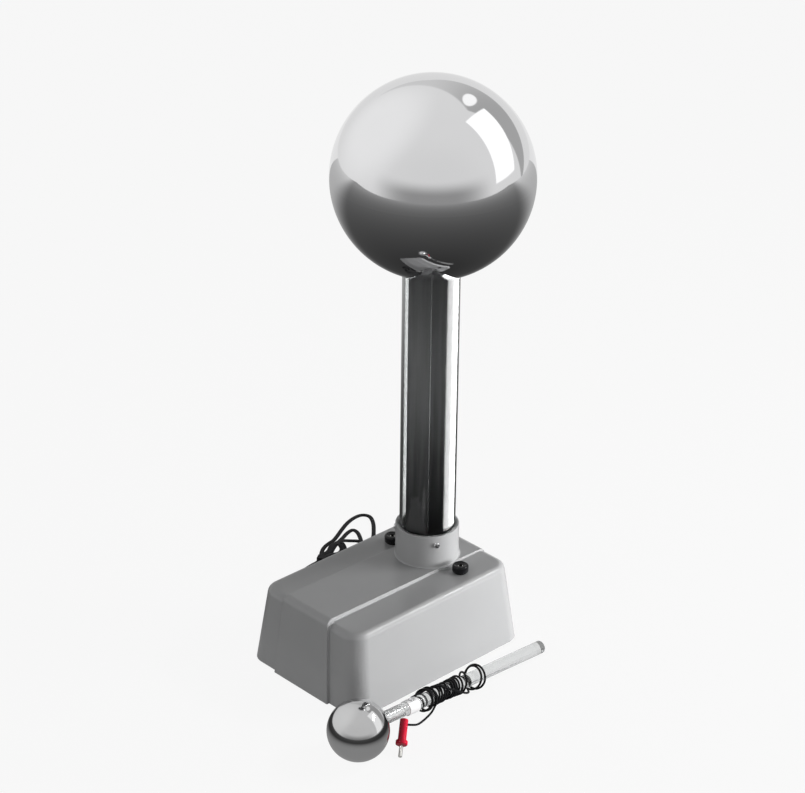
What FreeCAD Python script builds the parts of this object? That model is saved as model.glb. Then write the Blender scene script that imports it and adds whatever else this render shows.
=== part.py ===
"""Classroom Van de Graaff generator with its discharge wand, in millimetres.

The machine stands on a table at z = 0. Everything is drawn about the centre of the moulded base, with
+X to the base's right side, +Y to its back, where the column stands, and +Z up. At the end all pieces
are moved together, so that the origin is the centre of the floor that the machine and its wand cover.
"""

import FreeCAD, Part
import math
import os

V = FreeCAD.Vector
X_AXIS, Y_AXIS, Z_AXIS = V(1, 0, 0), V(0, 1, 0), V(0, 0, 1)

# Fits and gaps
RUNNING_FIT = 0.05  # a shaft in its bush, on the radius
AIR_GAP = 0.3  # round faces of different bodies that must not touch
PLAY = 0.5  # a plate or roller in its place

# Moulded base housing: a frustum with round corners
BASE_WIDTH = 171.6  # at the rim
BASE_LENGTH = 243.0
TOP_WIDTH = 146.6
TOP_LENGTH = 228.0
RIM_Z = 2.0
BASE_TOP_Z = 91.2
CORNER_RADIUS = 19.5
TOP_EDGE_RADIUS = 8.0
WALL = 3.0

# Raised band that runs over the top and down the front of the housing
BAND_RISE_FRONT = 5.8
BAND_RISE_BACK = 2.2
BAND_PROUD = 3.3
BAND_TOP_WIDTH_FRONT = 68.0
BAND_TOP_WIDTH_BACK = 65.0
BAND_RIM_WIDTH = 84.0
BAND_EDGE_RADIUS = 1.2

# Column and the collar that holds it
COLUMN_FROM_BACK = 63.0  # of its axis, from the back of the rim
TUBE_OUTER_RADIUS = 30.0
TUBE_WALL = 3.0
TUBE_LENGTH = 398.0
TUBE_SEAT_DEPTH = 9.2  # below the housing's top
TUBE_FIT = 0.2
COLLAR_RADIUS = 34.3
COLLAR_RISE = 41.5  # above the housing's top
COLLAR_EDGE = 0.8
SPIGOT_WALL = 1.5  # of the collar's lower end, inside the roof
COLLAR_FIT = 0.2
COLLAR_FLARE = 2.2
COLLAR_SEAT_DEPTH = 4.0
SET_SCREW_DROP = 10.3  # below the collar's top
SET_SCREW_ANGLES = (-27.0, 93.0, 213.0)
SET_SCREW_RADIUS = 2.0
SET_SCREW_HEAD_RADIUS = 3.3
SET_SCREW_HEAD_HEIGHT = 2.4
SET_SCREW_SEAT = 0.2  # depth of the flat under its head

# Base plate, feet and their fixings
PLATE_Z = 4.0
PLATE_THICKNESS = 2.0
FOOT_RADIUS = 8.0
FOOT_STEM_RADIUS = 2.5
FOOT_FROM_EDGE = (23.8, 41.5)  # from the side and the end of the rim
POST_FROM_EDGE = (23.8, 21.5)
POST_RADIUS = 5.0
PLATE_SCREW_RADIUS = 1.7
PLATE_SCREW_HEAD_RADIUS = 3.4
PLATE_SCREW_HEAD_HEIGHT = 1.6
PLATE_SCREW_LENGTH = 14.0
VENT_COUNT = 6
VENT_LENGTH = 34.0
VENT_WIDTH = 3.0
VENT_PITCH = 8.0

# Charge belt and its two rollers
ROLLER_RADIUS = 15.0
ROLLER_LENGTH = 38.0
ROLLER_CROWN = 0.6
BELT_WIDTH = 34.0
BELT_THICKNESS = 1.0
LOWER_AXIS_Z = 46.0
UPPER_AXIS_RISE = 25.0  # above the tube's end
LOWER_SHAFT_RADIUS = 3.0
UPPER_SHAFT_RADIUS = 2.5
BUSH_WALL = 1.5
BUSH_FLANGE_WALL = 3.5
BUSH_FLANGE_THICKNESS = 1.0

# Lower roller bracket and comb
CHEEK_THICKNESS = 2.0
CHEEK_FRONT_REACH = 14.0
CHEEK_BACK_REACH = 32.0
CHEEK_TOP_MARGIN = 12.0
COMB_BAR_DEPTH = 6.0
COMB_BAR_HEIGHT = 8.0
COMB_THICKNESS = 1.0
COMB_TEETH = 9
COMB_TOOTH_DEPTH = 4.0
COMB_GAP = 1.5

# Motor with its round drive belt
MOTOR_TO_COLUMN = 88.5  # between their axes, seen from above
MOTOR_AXIS_Z = 40.0
MOTOR_RADIUS = 26.0
MOTOR_LENGTH = 62.0
MOTOR_FACE_X = 22.0
MOTOR_WALL = 2.0
MOTOR_BELL_THICKNESS = 3.0
ROTOR_RADIUS = 15.2
ROTOR_LENGTH = 36.0
ROTOR_GAP = 0.4
STATOR_LENGTH = 40.0
MOTOR_SHAFT_RADIUS = 2.5
MOTOR_SHAFT_END_X = 44.0
MOTOR_SCREW_SPREAD = 18.0
MOTOR_BRACKET_THICKNESS = 2.0
MOTOR_BRACKET_WIDTH = 58.0
MOTOR_BRACKET_FOOT = 28.0
PULLEY_X = 37.0
PULLEY_WIDTH = 8.0
MOTOR_PULLEY_RADIUS = 8.0
DRIVEN_PULLEY_RADIUS = 12.0
DRIVE_BELT_RADIUS = 1.5
BRACKET_SCREW_RADIUS = 2.0
BRACKET_SCREW_HEAD_RADIUS = 3.6
BRACKET_SCREW_HEAD_HEIGHT = 2.4

# Head of the column, inside the dome
HEAD_FLANGE_THICKNESS = 3.0
HEAD_SPIGOT_DEPTH = 18.0
HEAD_SPIGOT_WALL = 2.3
HEAD_EAR_THICKNESS = 4.0
HEAD_EAR_WIDTH = 18.0
UPPER_COMB_STEM_WIDTH = 12.0
UPPER_COMB_WIDTH = 30.0
UPPER_COMB_NECK = 23.0
UPPER_COMB_RISE = 4.0  # of the teeth above the roller's axis

# Dome
DOME_RADIUS = 104.5
DOME_CENTRE_RISE = 50.0  # above the tube's end
DOME_WALL = 1.2
DOME_NECK_WALL = 1.4
DOME_NECK_LIP = 2.0
DOME_RING_HEIGHT = 14.0
DOME_RING_WALL = 1.0

# Socket terminals beside the column, with their places from its axis
TERMINALS = (("right", 49.6, 2.0), ("left", -45.5, -8.0))
SOCKET_RADIUS = 2.05
STUD_RADIUS = 3.5
STUD_LENGTH = 27.0
SOCKET_DEPTH = 20.0
CAP_RADIUS = 8.8
CAP_HEIGHT = 8.0
CAP_DISH = 1.2
CAP_MOUTH_RADIUS = 2.8
WASHER_RADIUS = 7.0
WASHER_THICKNESS = 1.3
TERMINAL_HOLE_RADIUS = 4.5
NUT_FLATS = 10.0
NUT_HEIGHT = 3.5

# Rocker switch in the back wall
SWITCH_FROM_POST = 17.0  # between the middles of the switch and of the corner post beside it
SWITCH_Z = 48.0
SWITCH_BEZEL = (15.0, 24.0, 2.0)
SWITCH_BODY = (12.0, 20.6, 15.0)
SWITCH_WINDOW = (9.0, 18.0, 9.0)
ROCKER_SIZE = (8.4, 16.0)
ROCKER_TILT = 8.0
ROCKER_PIN_RADIUS = 1.2
ROCKER_PIVOT = -2.0  # of the pins below the wall's face
SWITCH_TAB_X = 6.0
SWITCH_TAB_LENGTH = 6.0

# Mains lead: a thin flat twin lead, its strain relief, tied hank and plug
LEAD_RADIUS = 2.5
GLAND_FROM_BACK = 33.5
GLAND_Z = 16.0
GLAND_NECK_RADIUS = 4.0
GLAND_NECK_LENGTH = 3.1
GLAND_FLANGE_RADIUS = 6.5
GLAND_FLANGE_THICKNESS = 2.0
GLAND_TAPER_LENGTH = 26.0
GLAND_TIP_RADIUS = 3.4
HANK_WAIST_AT = (-174.0, 64.0)
HANK_HEADING = 123.4
HANK_WAIST_WIDTH = 12.0
HANK_WAIST_HEIGHT = 9.5
HANK_FAN_HEIGHT = 9.0
TIE_THICKNESS = 0.8
TIE_WIDTH = 8.0
PLUG_AT = (-105.0, 26.0)
PLUG_SIZE = (24.0, 36.0, 15.0)
PLUG_BLADE = (6.3, 16.0, 1.5)
PLUG_BLADE_PITCH = 12.7

# Leads inside the base
INNER_LEAD_RADIUS = 1.5
COMB_LEAD_RADIUS = 0.9
COMB_LEAD_ROUTE = ((13.0, -3.0, 10.0), (23.0, -7.0, 12.0), (34.0, -14.0, 9.0), (44.0, -21.0, 7.0))
MOTOR_LEAD_ENDS = (13.0, 14.0)  # straight runs at the switch and at the motor
MOTOR_LEAD_DROP = 9.0  # of its entry, below the motor's axis
MOTOR_LEAD_ROUTE = (
    (-39.5, 66.0, 39.0),
    (-43.5, 47.0, 31.0),
    (-51.0, 28.0, 25.5),
    (-58.0, 8.0, 24.0),
    (-61.0, -12.0, 26.5),
)
SUPPLY_LEAD_ENDS = (18.0, 10.0)
SUPPLY_LEAD_ROUTE = ((-47.0, 68.0, 12.0), (-48.0, 55.0, 30.0), (-50.5, 66.5, 47.5))

# Discharge wand that lies on the table beside the base
BALL_RADIUS = 32.0
BALL_WALL = 1.2
BALL_AT = (131.0, -162.2)
ROD_RADIUS = 7.0
ROD_END = 277.5  # from the ball's centre to the far end of the rod
WAND_HEADING = 92.14
WAND_STUD_RADIUS = 4.0
WAND_STUD_END = 61.0
WAND_STUD_HEAD_RADIUS = 9.0
WAND_STUD_HEAD_START = 22.0
FERRULE_START = 68.0
FERRULE_LENGTH = 15.0
FERRULE_WALL = 1.0
FERRULE_SCREW_RADIUS = 1.5
FERRULE_SCREW_HEAD_RADIUS = 2.8
FERRULE_SCREW_HEAD_HEIGHT = 1.8
FERRULE_SCREW_SEAT = 0.5
FERRULE_SCREW_LENGTH = 5.0
WAND_LEAD_RADIUS = 1.15
WINDING_START = 87.0
WINDING_LENGTH = 73.0
WINDING_RADIUS = 12.8
WINDING_NECK_LENGTH = 5.0
WINDING_NECK_RADIUS = 10.0
WINDING_END_LENGTH = 25.0
WINDING_END_RADIUS = 13.6

# Banana plug on the wand's lead, its tip on the table and its body against the rod
PLUG_TIP_AT = (162.4, -133.8)
BANANA_LENGTH = 41.0
BANANA_HEADING = 129.6
BANANA_RISE = 34.6
BANANA_PIN_RADIUS = 2.0
BANANA_PIN_LENGTH = 13.0
BANANA_FLANGE_RADIUS = 6.2
BANANA_FLANGE_LENGTH = 5.0
BANANA_BODY_RADIUS = 4.3

# Sizes that follow from the ones above
COLUMN_Y = BASE_LENGTH / 2 - COLUMN_FROM_BACK
MOTOR_Y = COLUMN_Y - MOTOR_TO_COLUMN
GLAND_Y = BASE_LENGTH / 2 - GLAND_FROM_BACK
FOOT_AT = (BASE_WIDTH / 2 - FOOT_FROM_EDGE[0], BASE_LENGTH / 2 - FOOT_FROM_EDGE[1])
POST_AT = (BASE_WIDTH / 2 - POST_FROM_EDGE[0], BASE_LENGTH / 2 - POST_FROM_EDGE[1])
SWITCH_X = SWITCH_FROM_POST - POST_AT[0]
TUBE_SEAT_Z = BASE_TOP_Z - TUBE_SEAT_DEPTH
COLLAR_TOP_Z = BASE_TOP_Z + COLLAR_RISE
SET_SCREW_Z = COLLAR_TOP_Z - SET_SCREW_DROP
TUBE_INNER_RADIUS = TUBE_OUTER_RADIUS - TUBE_WALL
SPIGOT_RADIUS = TUBE_OUTER_RADIUS + TUBE_FIT + SPIGOT_WALL
TUBE_TOP_Z = TUBE_SEAT_Z + TUBE_LENGTH
PLATE_TOP_Z = PLATE_Z + PLATE_THICKNESS
ROOF_Z = BASE_TOP_Z - WALL
SIDE_DRAFT = math.degrees(math.atan((BASE_WIDTH - TOP_WIDTH) / 2 / (BASE_TOP_Z - RIM_Z)))
BACK_DRAFT = math.degrees(math.atan((BASE_LENGTH - TOP_LENGTH) / 2 / (BASE_TOP_Z - RIM_Z)))
BELT_INNER_RADIUS = ROLLER_RADIUS + AIR_GAP
BELT_OUTER_RADIUS = BELT_INNER_RADIUS + BELT_THICKNESS
CHEEK_INNER_X = ROLLER_LENGTH / 2 + PLAY + BUSH_FLANGE_THICKNESS
LOWER_SHAFT_END_X = PULLEY_X + PULLEY_WIDTH / 2 + 2
HEAD_TOP_Z = TUBE_TOP_Z + HEAD_FLANGE_THICKNESS
UPPER_AXIS_Z = TUBE_TOP_Z + UPPER_AXIS_RISE
DOME_CENTRE_Z = TUBE_TOP_Z + DOME_CENTRE_RISE
DOME_BORE_RADIUS = TUBE_OUTER_RADIUS + 2 * TUBE_FIT
HEAD_BORE_RADIUS = TUBE_INNER_RADIUS - TUBE_FIT - HEAD_SPIGOT_WALL


def width_at(z):
    """Width of the housing, without the band, at a height."""
    return BASE_WIDTH - (BASE_WIDTH - TOP_WIDTH) * (z - RIM_Z) / (BASE_TOP_Z - RIM_Z)


def length_at(z):
    """Length of the housing, without the band, at a height."""
    return BASE_LENGTH - (BASE_LENGTH - TOP_LENGTH) * (z - RIM_Z) / (BASE_TOP_Z - RIM_Z)


def cylinder(radius, start, along, length):
    return Part.makeCylinder(radius, length, start, along)


def ring(outer, inner, start, along, length):
    return cylinder(outer, start, along, length).cut(cylinder(inner, start, along, length))


def block(x, y, z):
    """A box from its three ranges."""
    return Part.makeBox(x[1] - x[0], y[1] - y[0], z[1] - z[0], V(x[0], y[0], z[0]))


def polygon_face(points):
    return Part.Face(Part.makePolygon(points + [points[0]]))


def loft(lower, upper):
    """A straight-sided solid between two polygons with the same number of corners."""
    wires = [Part.makePolygon(points + [points[0]]) for points in (lower, upper)]
    return Part.makeLoft(wires, True, True)


def revolve(profile, at=V(0, 0, 0), along=Z_AXIS):
    """A solid turned from a profile of (radius, height) points, or of curves in the XZ plane."""
    if isinstance(profile[0], tuple):
        points = [V(r, 0, h) for r, h in profile]
        wire = Part.makePolygon(points + [points[0]])
    else:
        wire = Part.Wire(profile)
    solid = Part.Face(wire).revolve(V(0, 0, 0), Z_AXIS, 360)
    if solid.ShapeType != "Solid":
        solid = Part.Solid(solid.Shells[0])
    if solid.Volume < 0:
        solid.reverse()
    solid.Placement = FreeCAD.Placement(at, FreeCAD.Rotation(Z_AXIS, along))
    return solid


def hexagon(flats, height, at):
    corners = [
        at + V(math.cos(a), math.sin(a), 0) * (flats / 2 / math.cos(math.pi / 6))
        for a in (math.pi / 3 * k for k in range(6))
    ]
    return polygon_face(corners).extrude(Z_AXIS * height)


def screw(head_radius, head_height, shank_radius, length, at, inward):
    """A round-headed screw: its head stands on the face at a point, its shank goes inward."""
    outward = inward * -1
    head = cylinder(head_radius, at, outward, head_height)
    rim = [e for e in head.Edges if isinstance(e.Curve, Part.Circle)]
    top = max(rim, key=lambda e: (e.Curve.Center - at).Length)
    head = head.makeFillet(head_height * 0.6, [top])
    slot = Part.makeBox(2 * head_radius, head_radius * 0.3, head_height)
    slot.translate(V(-head_radius, -head_radius * 0.15, head_height * 0.5))
    slot.Placement = FreeCAD.Placement(at, FreeCAD.Rotation(Z_AXIS, outward)).multiply(slot.Placement)
    return head.cut(slot).fuse(cylinder(shank_radius, at, inward, length)).removeSplitter()


def bent_tube(name, points, radius, tight=3.0):
    """A round tube along straight runs joined by arcs as large as the runs allow."""
    edges, start, radii = [], points[0], []
    for before, corner, after in zip(points, points[1:], points[2:]):
        back, forth = before - corner, after - corner
        turn = math.pi - back.getAngle(forth)
        reach = 0.45 * min(back.Length, forth.Length)
        radii.append(reach / math.tan(turn / 2))
        back.normalize()
        forth.normalize()
        first, last = corner + back * reach, corner + forth * reach
        middle = back + forth
        middle.normalize()
        bulge = radii[-1] / math.cos(turn / 2) - radii[-1]
        edges.append(Part.LineSegment(start, first).toShape())
        edges.append(Part.Arc(first, corner + middle * bulge, last).toShape())
        start = last
    edges.append(Part.LineSegment(start, points[-1]).toShape())
    path = Part.Wire(edges)
    disc = Part.Wire(Part.makeCircle(radius, points[0], points[1] - points[0]))
    tube = path.makePipeShell([disc], True, True)
    share = tube.Volume / (math.pi * radius**2 * path.Length)
    print(f"{name}: length {path.Length:.0f}, volume share {share:.3f},", end=" ")
    print(f"radii {', '.join(f'{r:.1f}' for r in radii)}, least wanted {2 * radius * tight:.1f}")
    return tube


def housing_form(inset):
    """The housing's outer form with its band, shrunk on every side by an inset."""

    def corners(width, length, z):
        w, l = width / 2 - inset, length / 2 - inset
        return [V(-w, -l, z), V(w, -l, z), V(w, l, z), V(-w, l, z)]

    top_z = BASE_TOP_Z - inset
    body = loft(corners(BASE_WIDTH, BASE_LENGTH, RIM_Z), corners(TOP_WIDTH, TOP_LENGTH, top_z))
    upright = [e for e in body.Edges if abs(e.BoundBox.ZLength) > 1]
    body = body.makeFillet(CORNER_RADIUS - inset, upright)
    over = [e for e in body.Edges if e.BoundBox.ZMin > top_z - 0.01]
    body = body.makeFillet(TOP_EDGE_RADIUS - inset, over)

    front_low = -BASE_LENGTH / 2 - BAND_PROUD + inset
    front_high = -TOP_LENGTH / 2 - BAND_PROUD + inset
    back_lean = (BASE_LENGTH - TOP_LENGTH) / 2 / (top_z - RIM_Z)
    back_high = BASE_LENGTH / 2 - inset - back_lean * (top_z + BAND_RISE_BACK - RIM_Z)
    side = [
        V(-BASE_WIDTH, front_low, RIM_Z),
        V(-BASE_WIDTH, front_high, top_z + BAND_RISE_FRONT),
        V(-BASE_WIDTH, back_high, top_z + BAND_RISE_BACK),
        V(-BASE_WIDTH, BASE_LENGTH / 2 - inset, RIM_Z),
    ]
    band = polygon_face(side).extrude(X_AXIS * 2 * BASE_WIDTH)

    def cross(y, top_width):
        low, high = BAND_RIM_WIDTH / 2 - inset, top_width / 2 - inset
        above = top_z + BAND_RISE_FRONT + 1
        return [V(-low, y, RIM_Z), V(low, y, RIM_Z), V(high, y, above), V(-high, y, above)]

    reach = max(BASE_LENGTH, TOP_LENGTH) / 2 + BAND_PROUD
    band = band.common(loft(cross(-reach, BAND_TOP_WIDTH_FRONT), cross(reach, BAND_TOP_WIDTH_BACK)))
    across = [
        e for e in band.Edges if e.BoundBox.ZMin > BASE_TOP_Z - inset - 1 and e.BoundBox.YLength < 1
    ]
    band = band.makeFillet(TOP_EDGE_RADIUS - inset, across)
    if not inset:
        front_y = front_high + TOP_EDGE_RADIUS
        flank = [
            e
            for e in band.Edges
            if e.BoundBox.XMin * e.BoundBox.XMax > 0
            and (e.BoundBox.ZMin > BASE_TOP_Z - TOP_EDGE_RADIUS or e.BoundBox.YMax < front_y)
            and e.BoundBox.YMin < TOP_LENGTH / 2 - TOP_EDGE_RADIUS - 1
        ]
        band = band.makeFillet(BAND_EDGE_RADIUS, flank)
    return body.fuse(band).removeSplitter()


def on_wall(x_side, along, z):
    """Placement on the left (x_side -1) or back (x_side 0) wall, its local Z pointing out of the wall
    and its local Y up the wall."""
    if x_side:
        at = V(x_side * width_at(z) / 2, along, z)
        outward = V(x_side * math.cos(math.radians(SIDE_DRAFT)), 0, math.sin(math.radians(SIDE_DRAFT)))
    else:
        at = V(along, length_at(z) / 2, z)
        outward = V(0, math.cos(math.radians(BACK_DRAFT)), math.sin(math.radians(BACK_DRAFT)))
    across = outward.cross(Z_AXIS) * -1
    across.normalize()
    return FreeCAD.Placement(at, FreeCAD.Rotation(across, outward.cross(across), outward, "ZXY"))


def placed(shape, placement):
    shape = shape.copy()
    shape.Placement = placement.multiply(shape.Placement)
    return shape


def set_screw_direction(angle):
    return V(-math.cos(math.radians(angle)), -math.sin(math.radians(angle)), 0)


def band_top_at(y):
    """Height of the band's top over a place along the base."""
    share = (y + TOP_LENGTH / 2) / TOP_LENGTH
    return BASE_TOP_Z + BAND_RISE_FRONT + (BAND_RISE_BACK - BAND_RISE_FRONT) * share


column_at = V(0, COLUMN_Y, 0)
terminal_at = {side: V(x, COLUMN_Y + y, BASE_TOP_Z) for side, x, y in TERMINALS}
post_places = [V(x, y, 0) for x in (-POST_AT[0], POST_AT[0]) for y in (-POST_AT[1], POST_AT[1])]
foot_places = [V(x, y, 0) for x in (-FOOT_AT[0], FOOT_AT[0]) for y in (-FOOT_AT[1], FOOT_AT[1])]
gland_place = on_wall(-1, GLAND_Y, GLAND_Z)
switch_place = on_wall(0, SWITCH_X, SWITCH_Z)
housing_outside = housing_form(0)
collar_low = TUBE_SEAT_Z - COLLAR_SEAT_DEPTH


def base_housing():
    """Moulded shell with a hole for the collar in its roof, and posts for the plate's screws."""
    hollow = housing_form(WALL)
    posts = [cylinder(POST_RADIUS, at + Z_AXIS * PLATE_TOP_Z, Z_AXIS, BASE_TOP_Z) for at in post_places]
    inside = [post.common(hollow) for post in posts]
    housing = housing_outside.cut(hollow).fuse(inside)

    cut_w, cut_l = SWITCH_BODY[0] / 2 + 0.1, SWITCH_BODY[1] / 2 + 0.1
    holes = [
        cylinder(SPIGOT_RADIUS + COLLAR_FIT, column_at + Z_AXIS * collar_low, Z_AXIS, COLLAR_TOP_Z),
        placed(cylinder(GLAND_NECK_RADIUS, V(0, 0, -WALL * 3), Z_AXIS, WALL * 6), gland_place),
        placed(block((-cut_l, cut_l), (-cut_w, cut_w), (-2 * WALL, 2 * WALL)), switch_place),
    ]
    for at in post_places:
        low = at + Z_AXIS * PLATE_Z
        holes.append(cylinder(PLATE_SCREW_RADIUS, low, Z_AXIS, PLATE_SCREW_LENGTH + 2))
    for at in terminal_at.values():
        holes.append(cylinder(TERMINAL_HOLE_RADIUS, at - Z_AXIS * WALL * 2, Z_AXIS, WALL * 3))
    return housing.cut(holes).removeSplitter()


def column_collar():
    """Moulded collar glued into the roof: its flare rests on the band, its ledge carries the tube."""
    outer, edge = COLLAR_RADIUS, COLLAR_EDGE
    foot = outer + COLLAR_FLARE
    flare_top = band_top_at(COLUMN_Y) + COLLAR_FLARE
    corners = [
        V(foot, 0, flare_top - COLLAR_FLARE),
        V(foot, 0, ROOF_Z),
        V(0, 0, ROOF_Z),
        V(0, 0, COLLAR_TOP_Z),
        V(outer - edge, 0, COLLAR_TOP_Z),
        V(outer, 0, COLLAR_TOP_Z - edge),
        V(outer, 0, flare_top),
    ]
    flare_bend = V(outer + COLLAR_FLARE * 0.3, 0, flare_top - COLLAR_FLARE * 0.7)
    profile = [Part.LineSegment(a, b).toShape() for a, b in zip(corners, corners[1:])]
    profile.append(Part.Arc(corners[-1], flare_bend, corners[0]).toShape())
    above = revolve(profile, column_at).cut(housing_outside)
    spigot_length = COLLAR_TOP_Z - edge - collar_low
    spigot = cylinder(SPIGOT_RADIUS, column_at + Z_AXIS * collar_low, Z_AXIS, spigot_length)
    collar = above.fuse(spigot)

    bore = TUBE_OUTER_RADIUS + TUBE_FIT
    holes = [
        cylinder(bore, column_at + Z_AXIS * TUBE_SEAT_Z, Z_AXIS, COLLAR_TOP_Z),
        cylinder(TUBE_INNER_RADIUS, column_at + Z_AXIS * collar_low, Z_AXIS, COLLAR_TOP_Z),
    ]
    for angle in SET_SCREW_ANGLES:
        inward = set_screw_direction(angle)
        seat = column_at + Z_AXIS * SET_SCREW_Z - inward * (COLLAR_RADIUS - SET_SCREW_SEAT)
        holes.append(cylinder(SET_SCREW_RADIUS, seat, inward, COLLAR_RADIUS - bore + 2))
        holes.append(cylinder(SET_SCREW_HEAD_RADIUS, seat, inward * -1, 1))
    return collar.cut(holes).removeSplitter()


def base_plate():
    """Steel plate inside the housing's rim, with vent slots under the motor."""
    w = width_at(PLATE_TOP_Z) / 2 - WALL - PLAY
    l = length_at(PLATE_TOP_Z) / 2 - WALL - PLAY
    plate = block((-w, w), (-l, l), (PLATE_Z, PLATE_TOP_Z))
    upright = [e for e in plate.Edges if e.BoundBox.ZLength > 1]
    plate = plate.makeFillet(CORNER_RADIUS - WALL - PLAY, upright)
    holes = [cylinder(PLATE_SCREW_RADIUS, at, Z_AXIS, PLATE_TOP_Z + 1) for at in post_places]
    holes += [cylinder(FOOT_STEM_RADIUS, at, Z_AXIS, PLATE_TOP_Z + 1) for at in foot_places]
    holes += [cylinder(BRACKET_SCREW_RADIUS, at, Z_AXIS, PLATE_TOP_Z + 1) for at in bracket_screw_places()]
    for k in range(VENT_COUNT):
        y = MOTOR_Y + (k - (VENT_COUNT - 1) / 2) * VENT_PITCH
        slot = block((-VENT_LENGTH / 2, VENT_LENGTH / 2), (y, y + VENT_WIDTH), (0, PLATE_TOP_Z + 1))
        slot.translate(X_AXIS * (MOTOR_FACE_X - MOTOR_LENGTH / 2 - 4))
        holes.append(slot)
    return plate.cut(holes)


def bracket_screw_places():
    """Where the two brackets are screwed to the plate."""
    motor_x = MOTOR_FACE_X + MOTOR_BRACKET_THICKNESS + MOTOR_BRACKET_FOOT / 2
    motor = [V(motor_x, MOTOR_Y + side * MOTOR_BRACKET_WIDTH * 0.32, 0) for side in (-1, 1)]
    roller = [V(side * CHEEK_INNER_X * 0.5, COLUMN_Y, 0) for side in (-1, 1)]
    return motor + roller


def rubber_feet():
    """Four feet, each with a stem through the plate and a small head above it."""
    feet = []
    for at in foot_places:
        pad = cylinder(FOOT_RADIUS, at, Z_AXIS, PLATE_Z)
        circles = [e for e in pad.Edges if isinstance(e.Curve, Part.Circle)]
        edge = min(circles, key=lambda e: e.BoundBox.ZMin)
        pad = pad.makeFillet(1.0, [edge])
        stem = cylinder(FOOT_STEM_RADIUS, at, Z_AXIS, PLATE_TOP_Z)
        head = cylinder(FOOT_STEM_RADIUS + 1, at + Z_AXIS * PLATE_TOP_Z, Z_AXIS, 1.5)
        feet.append(pad.fuse([stem, head]).removeSplitter())
    return Part.makeCompound(feet)


def base_plate_screws():
    return Part.makeCompound(
        [
            screw(
                PLATE_SCREW_HEAD_RADIUS,
                PLATE_SCREW_HEAD_HEIGHT,
                PLATE_SCREW_RADIUS,
                PLATE_SCREW_LENGTH,
                at + Z_AXIS * PLATE_Z,
                Z_AXIS,
            )
            for at in post_places
        ]
    )


def collar_set_screws():
    """Three screws through the collar that press on the tube."""
    screws = []
    for angle in SET_SCREW_ANGLES:
        inward = set_screw_direction(angle)
        at = column_at + Z_AXIS * SET_SCREW_Z - inward * (COLLAR_RADIUS - SET_SCREW_SEAT)
        length = COLLAR_RADIUS - SET_SCREW_SEAT - TUBE_OUTER_RADIUS
        screws.append(
            screw(SET_SCREW_HEAD_RADIUS, SET_SCREW_HEAD_HEIGHT, SET_SCREW_RADIUS, length, at, inward)
        )
    return Part.makeCompound(screws)


def column_tube():
    at = column_at + Z_AXIS * TUBE_SEAT_Z
    return ring(TUBE_OUTER_RADIUS, TUBE_INNER_RADIUS, at, Z_AXIS, TUBE_LENGTH)


# Lower drive


def roller_bracket():
    """U-shaped steel bracket whose cheeks carry the bushes of the lower roller and the comb bar."""
    outer_x = CHEEK_INNER_X + CHEEK_THICKNESS
    low, high = PLATE_TOP_Z, LOWER_AXIS_Z + CHEEK_TOP_MARGIN
    front, back = COLUMN_Y - CHEEK_FRONT_REACH, COLUMN_Y + CHEEK_BACK_REACH
    body = block((-outer_x, outer_x), (front, back), (low, high))
    body = body.cut(block((-CHEEK_INNER_X, CHEEK_INNER_X), (front, back), (low + CHEEK_THICKNESS, high)))
    axis_start = V(-outer_x, COLUMN_Y, LOWER_AXIS_Z)
    holes = [cylinder(LOWER_SHAFT_RADIUS + BUSH_WALL, axis_start, X_AXIS, 2 * outer_x)]
    roller_screws = bracket_screw_places()[2:]
    holes += [cylinder(BRACKET_SCREW_RADIUS, at, Z_AXIS, PLATE_TOP_Z * 2) for at in roller_screws]
    return body.cut(holes)


def bushes(shaft_radius, inner_x, wall_thickness, y, z):
    """A pair of flanged bushes, their flanges on the inner faces of two cheeks."""
    pair = []
    for side in (-1, 1):
        outward = X_AXIS * side
        at = V(side * inner_x, y, z)
        flange_at = at - outward * BUSH_FLANGE_THICKNESS
        sleeve = cylinder(shaft_radius + BUSH_WALL, at, outward, wall_thickness)
        flange = cylinder(shaft_radius + BUSH_FLANGE_WALL, flange_at, outward, BUSH_FLANGE_THICKNESS)
        bore = cylinder(shaft_radius + RUNNING_FIT, flange_at, outward, wall_thickness + 3)
        pair.append(sleeve.fuse(flange).cut(bore).removeSplitter())
    return Part.makeCompound(pair)


def roller(shaft_radius, y, z):
    """A slightly crowned plastic roller with a bore for its shaft."""
    half = ROLLER_LENGTH / 2
    crown = [
        (shaft_radius, -half),
        (ROLLER_RADIUS - ROLLER_CROWN, -half),
        (ROLLER_RADIUS, -half / 3),
        (ROLLER_RADIUS, half / 3),
        (ROLLER_RADIUS - ROLLER_CROWN, half),
        (shaft_radius, half),
    ]
    return revolve(crown, V(0, y, z), X_AXIS)


def pulley(radius, bore, y, z):
    """A pulley with a round groove, on a shaft along X."""
    rim = radius + 0.5
    at = V(PULLEY_X - PULLEY_WIDTH / 2, y, z)
    body = ring(rim, bore, at, X_AXIS, PULLEY_WIDTH)
    groove = Part.makeTorus(radius, DRIVE_BELT_RADIUS + AIR_GAP, V(PULLEY_X, y, z), X_AXIS)
    return body.cut(groove)


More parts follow.
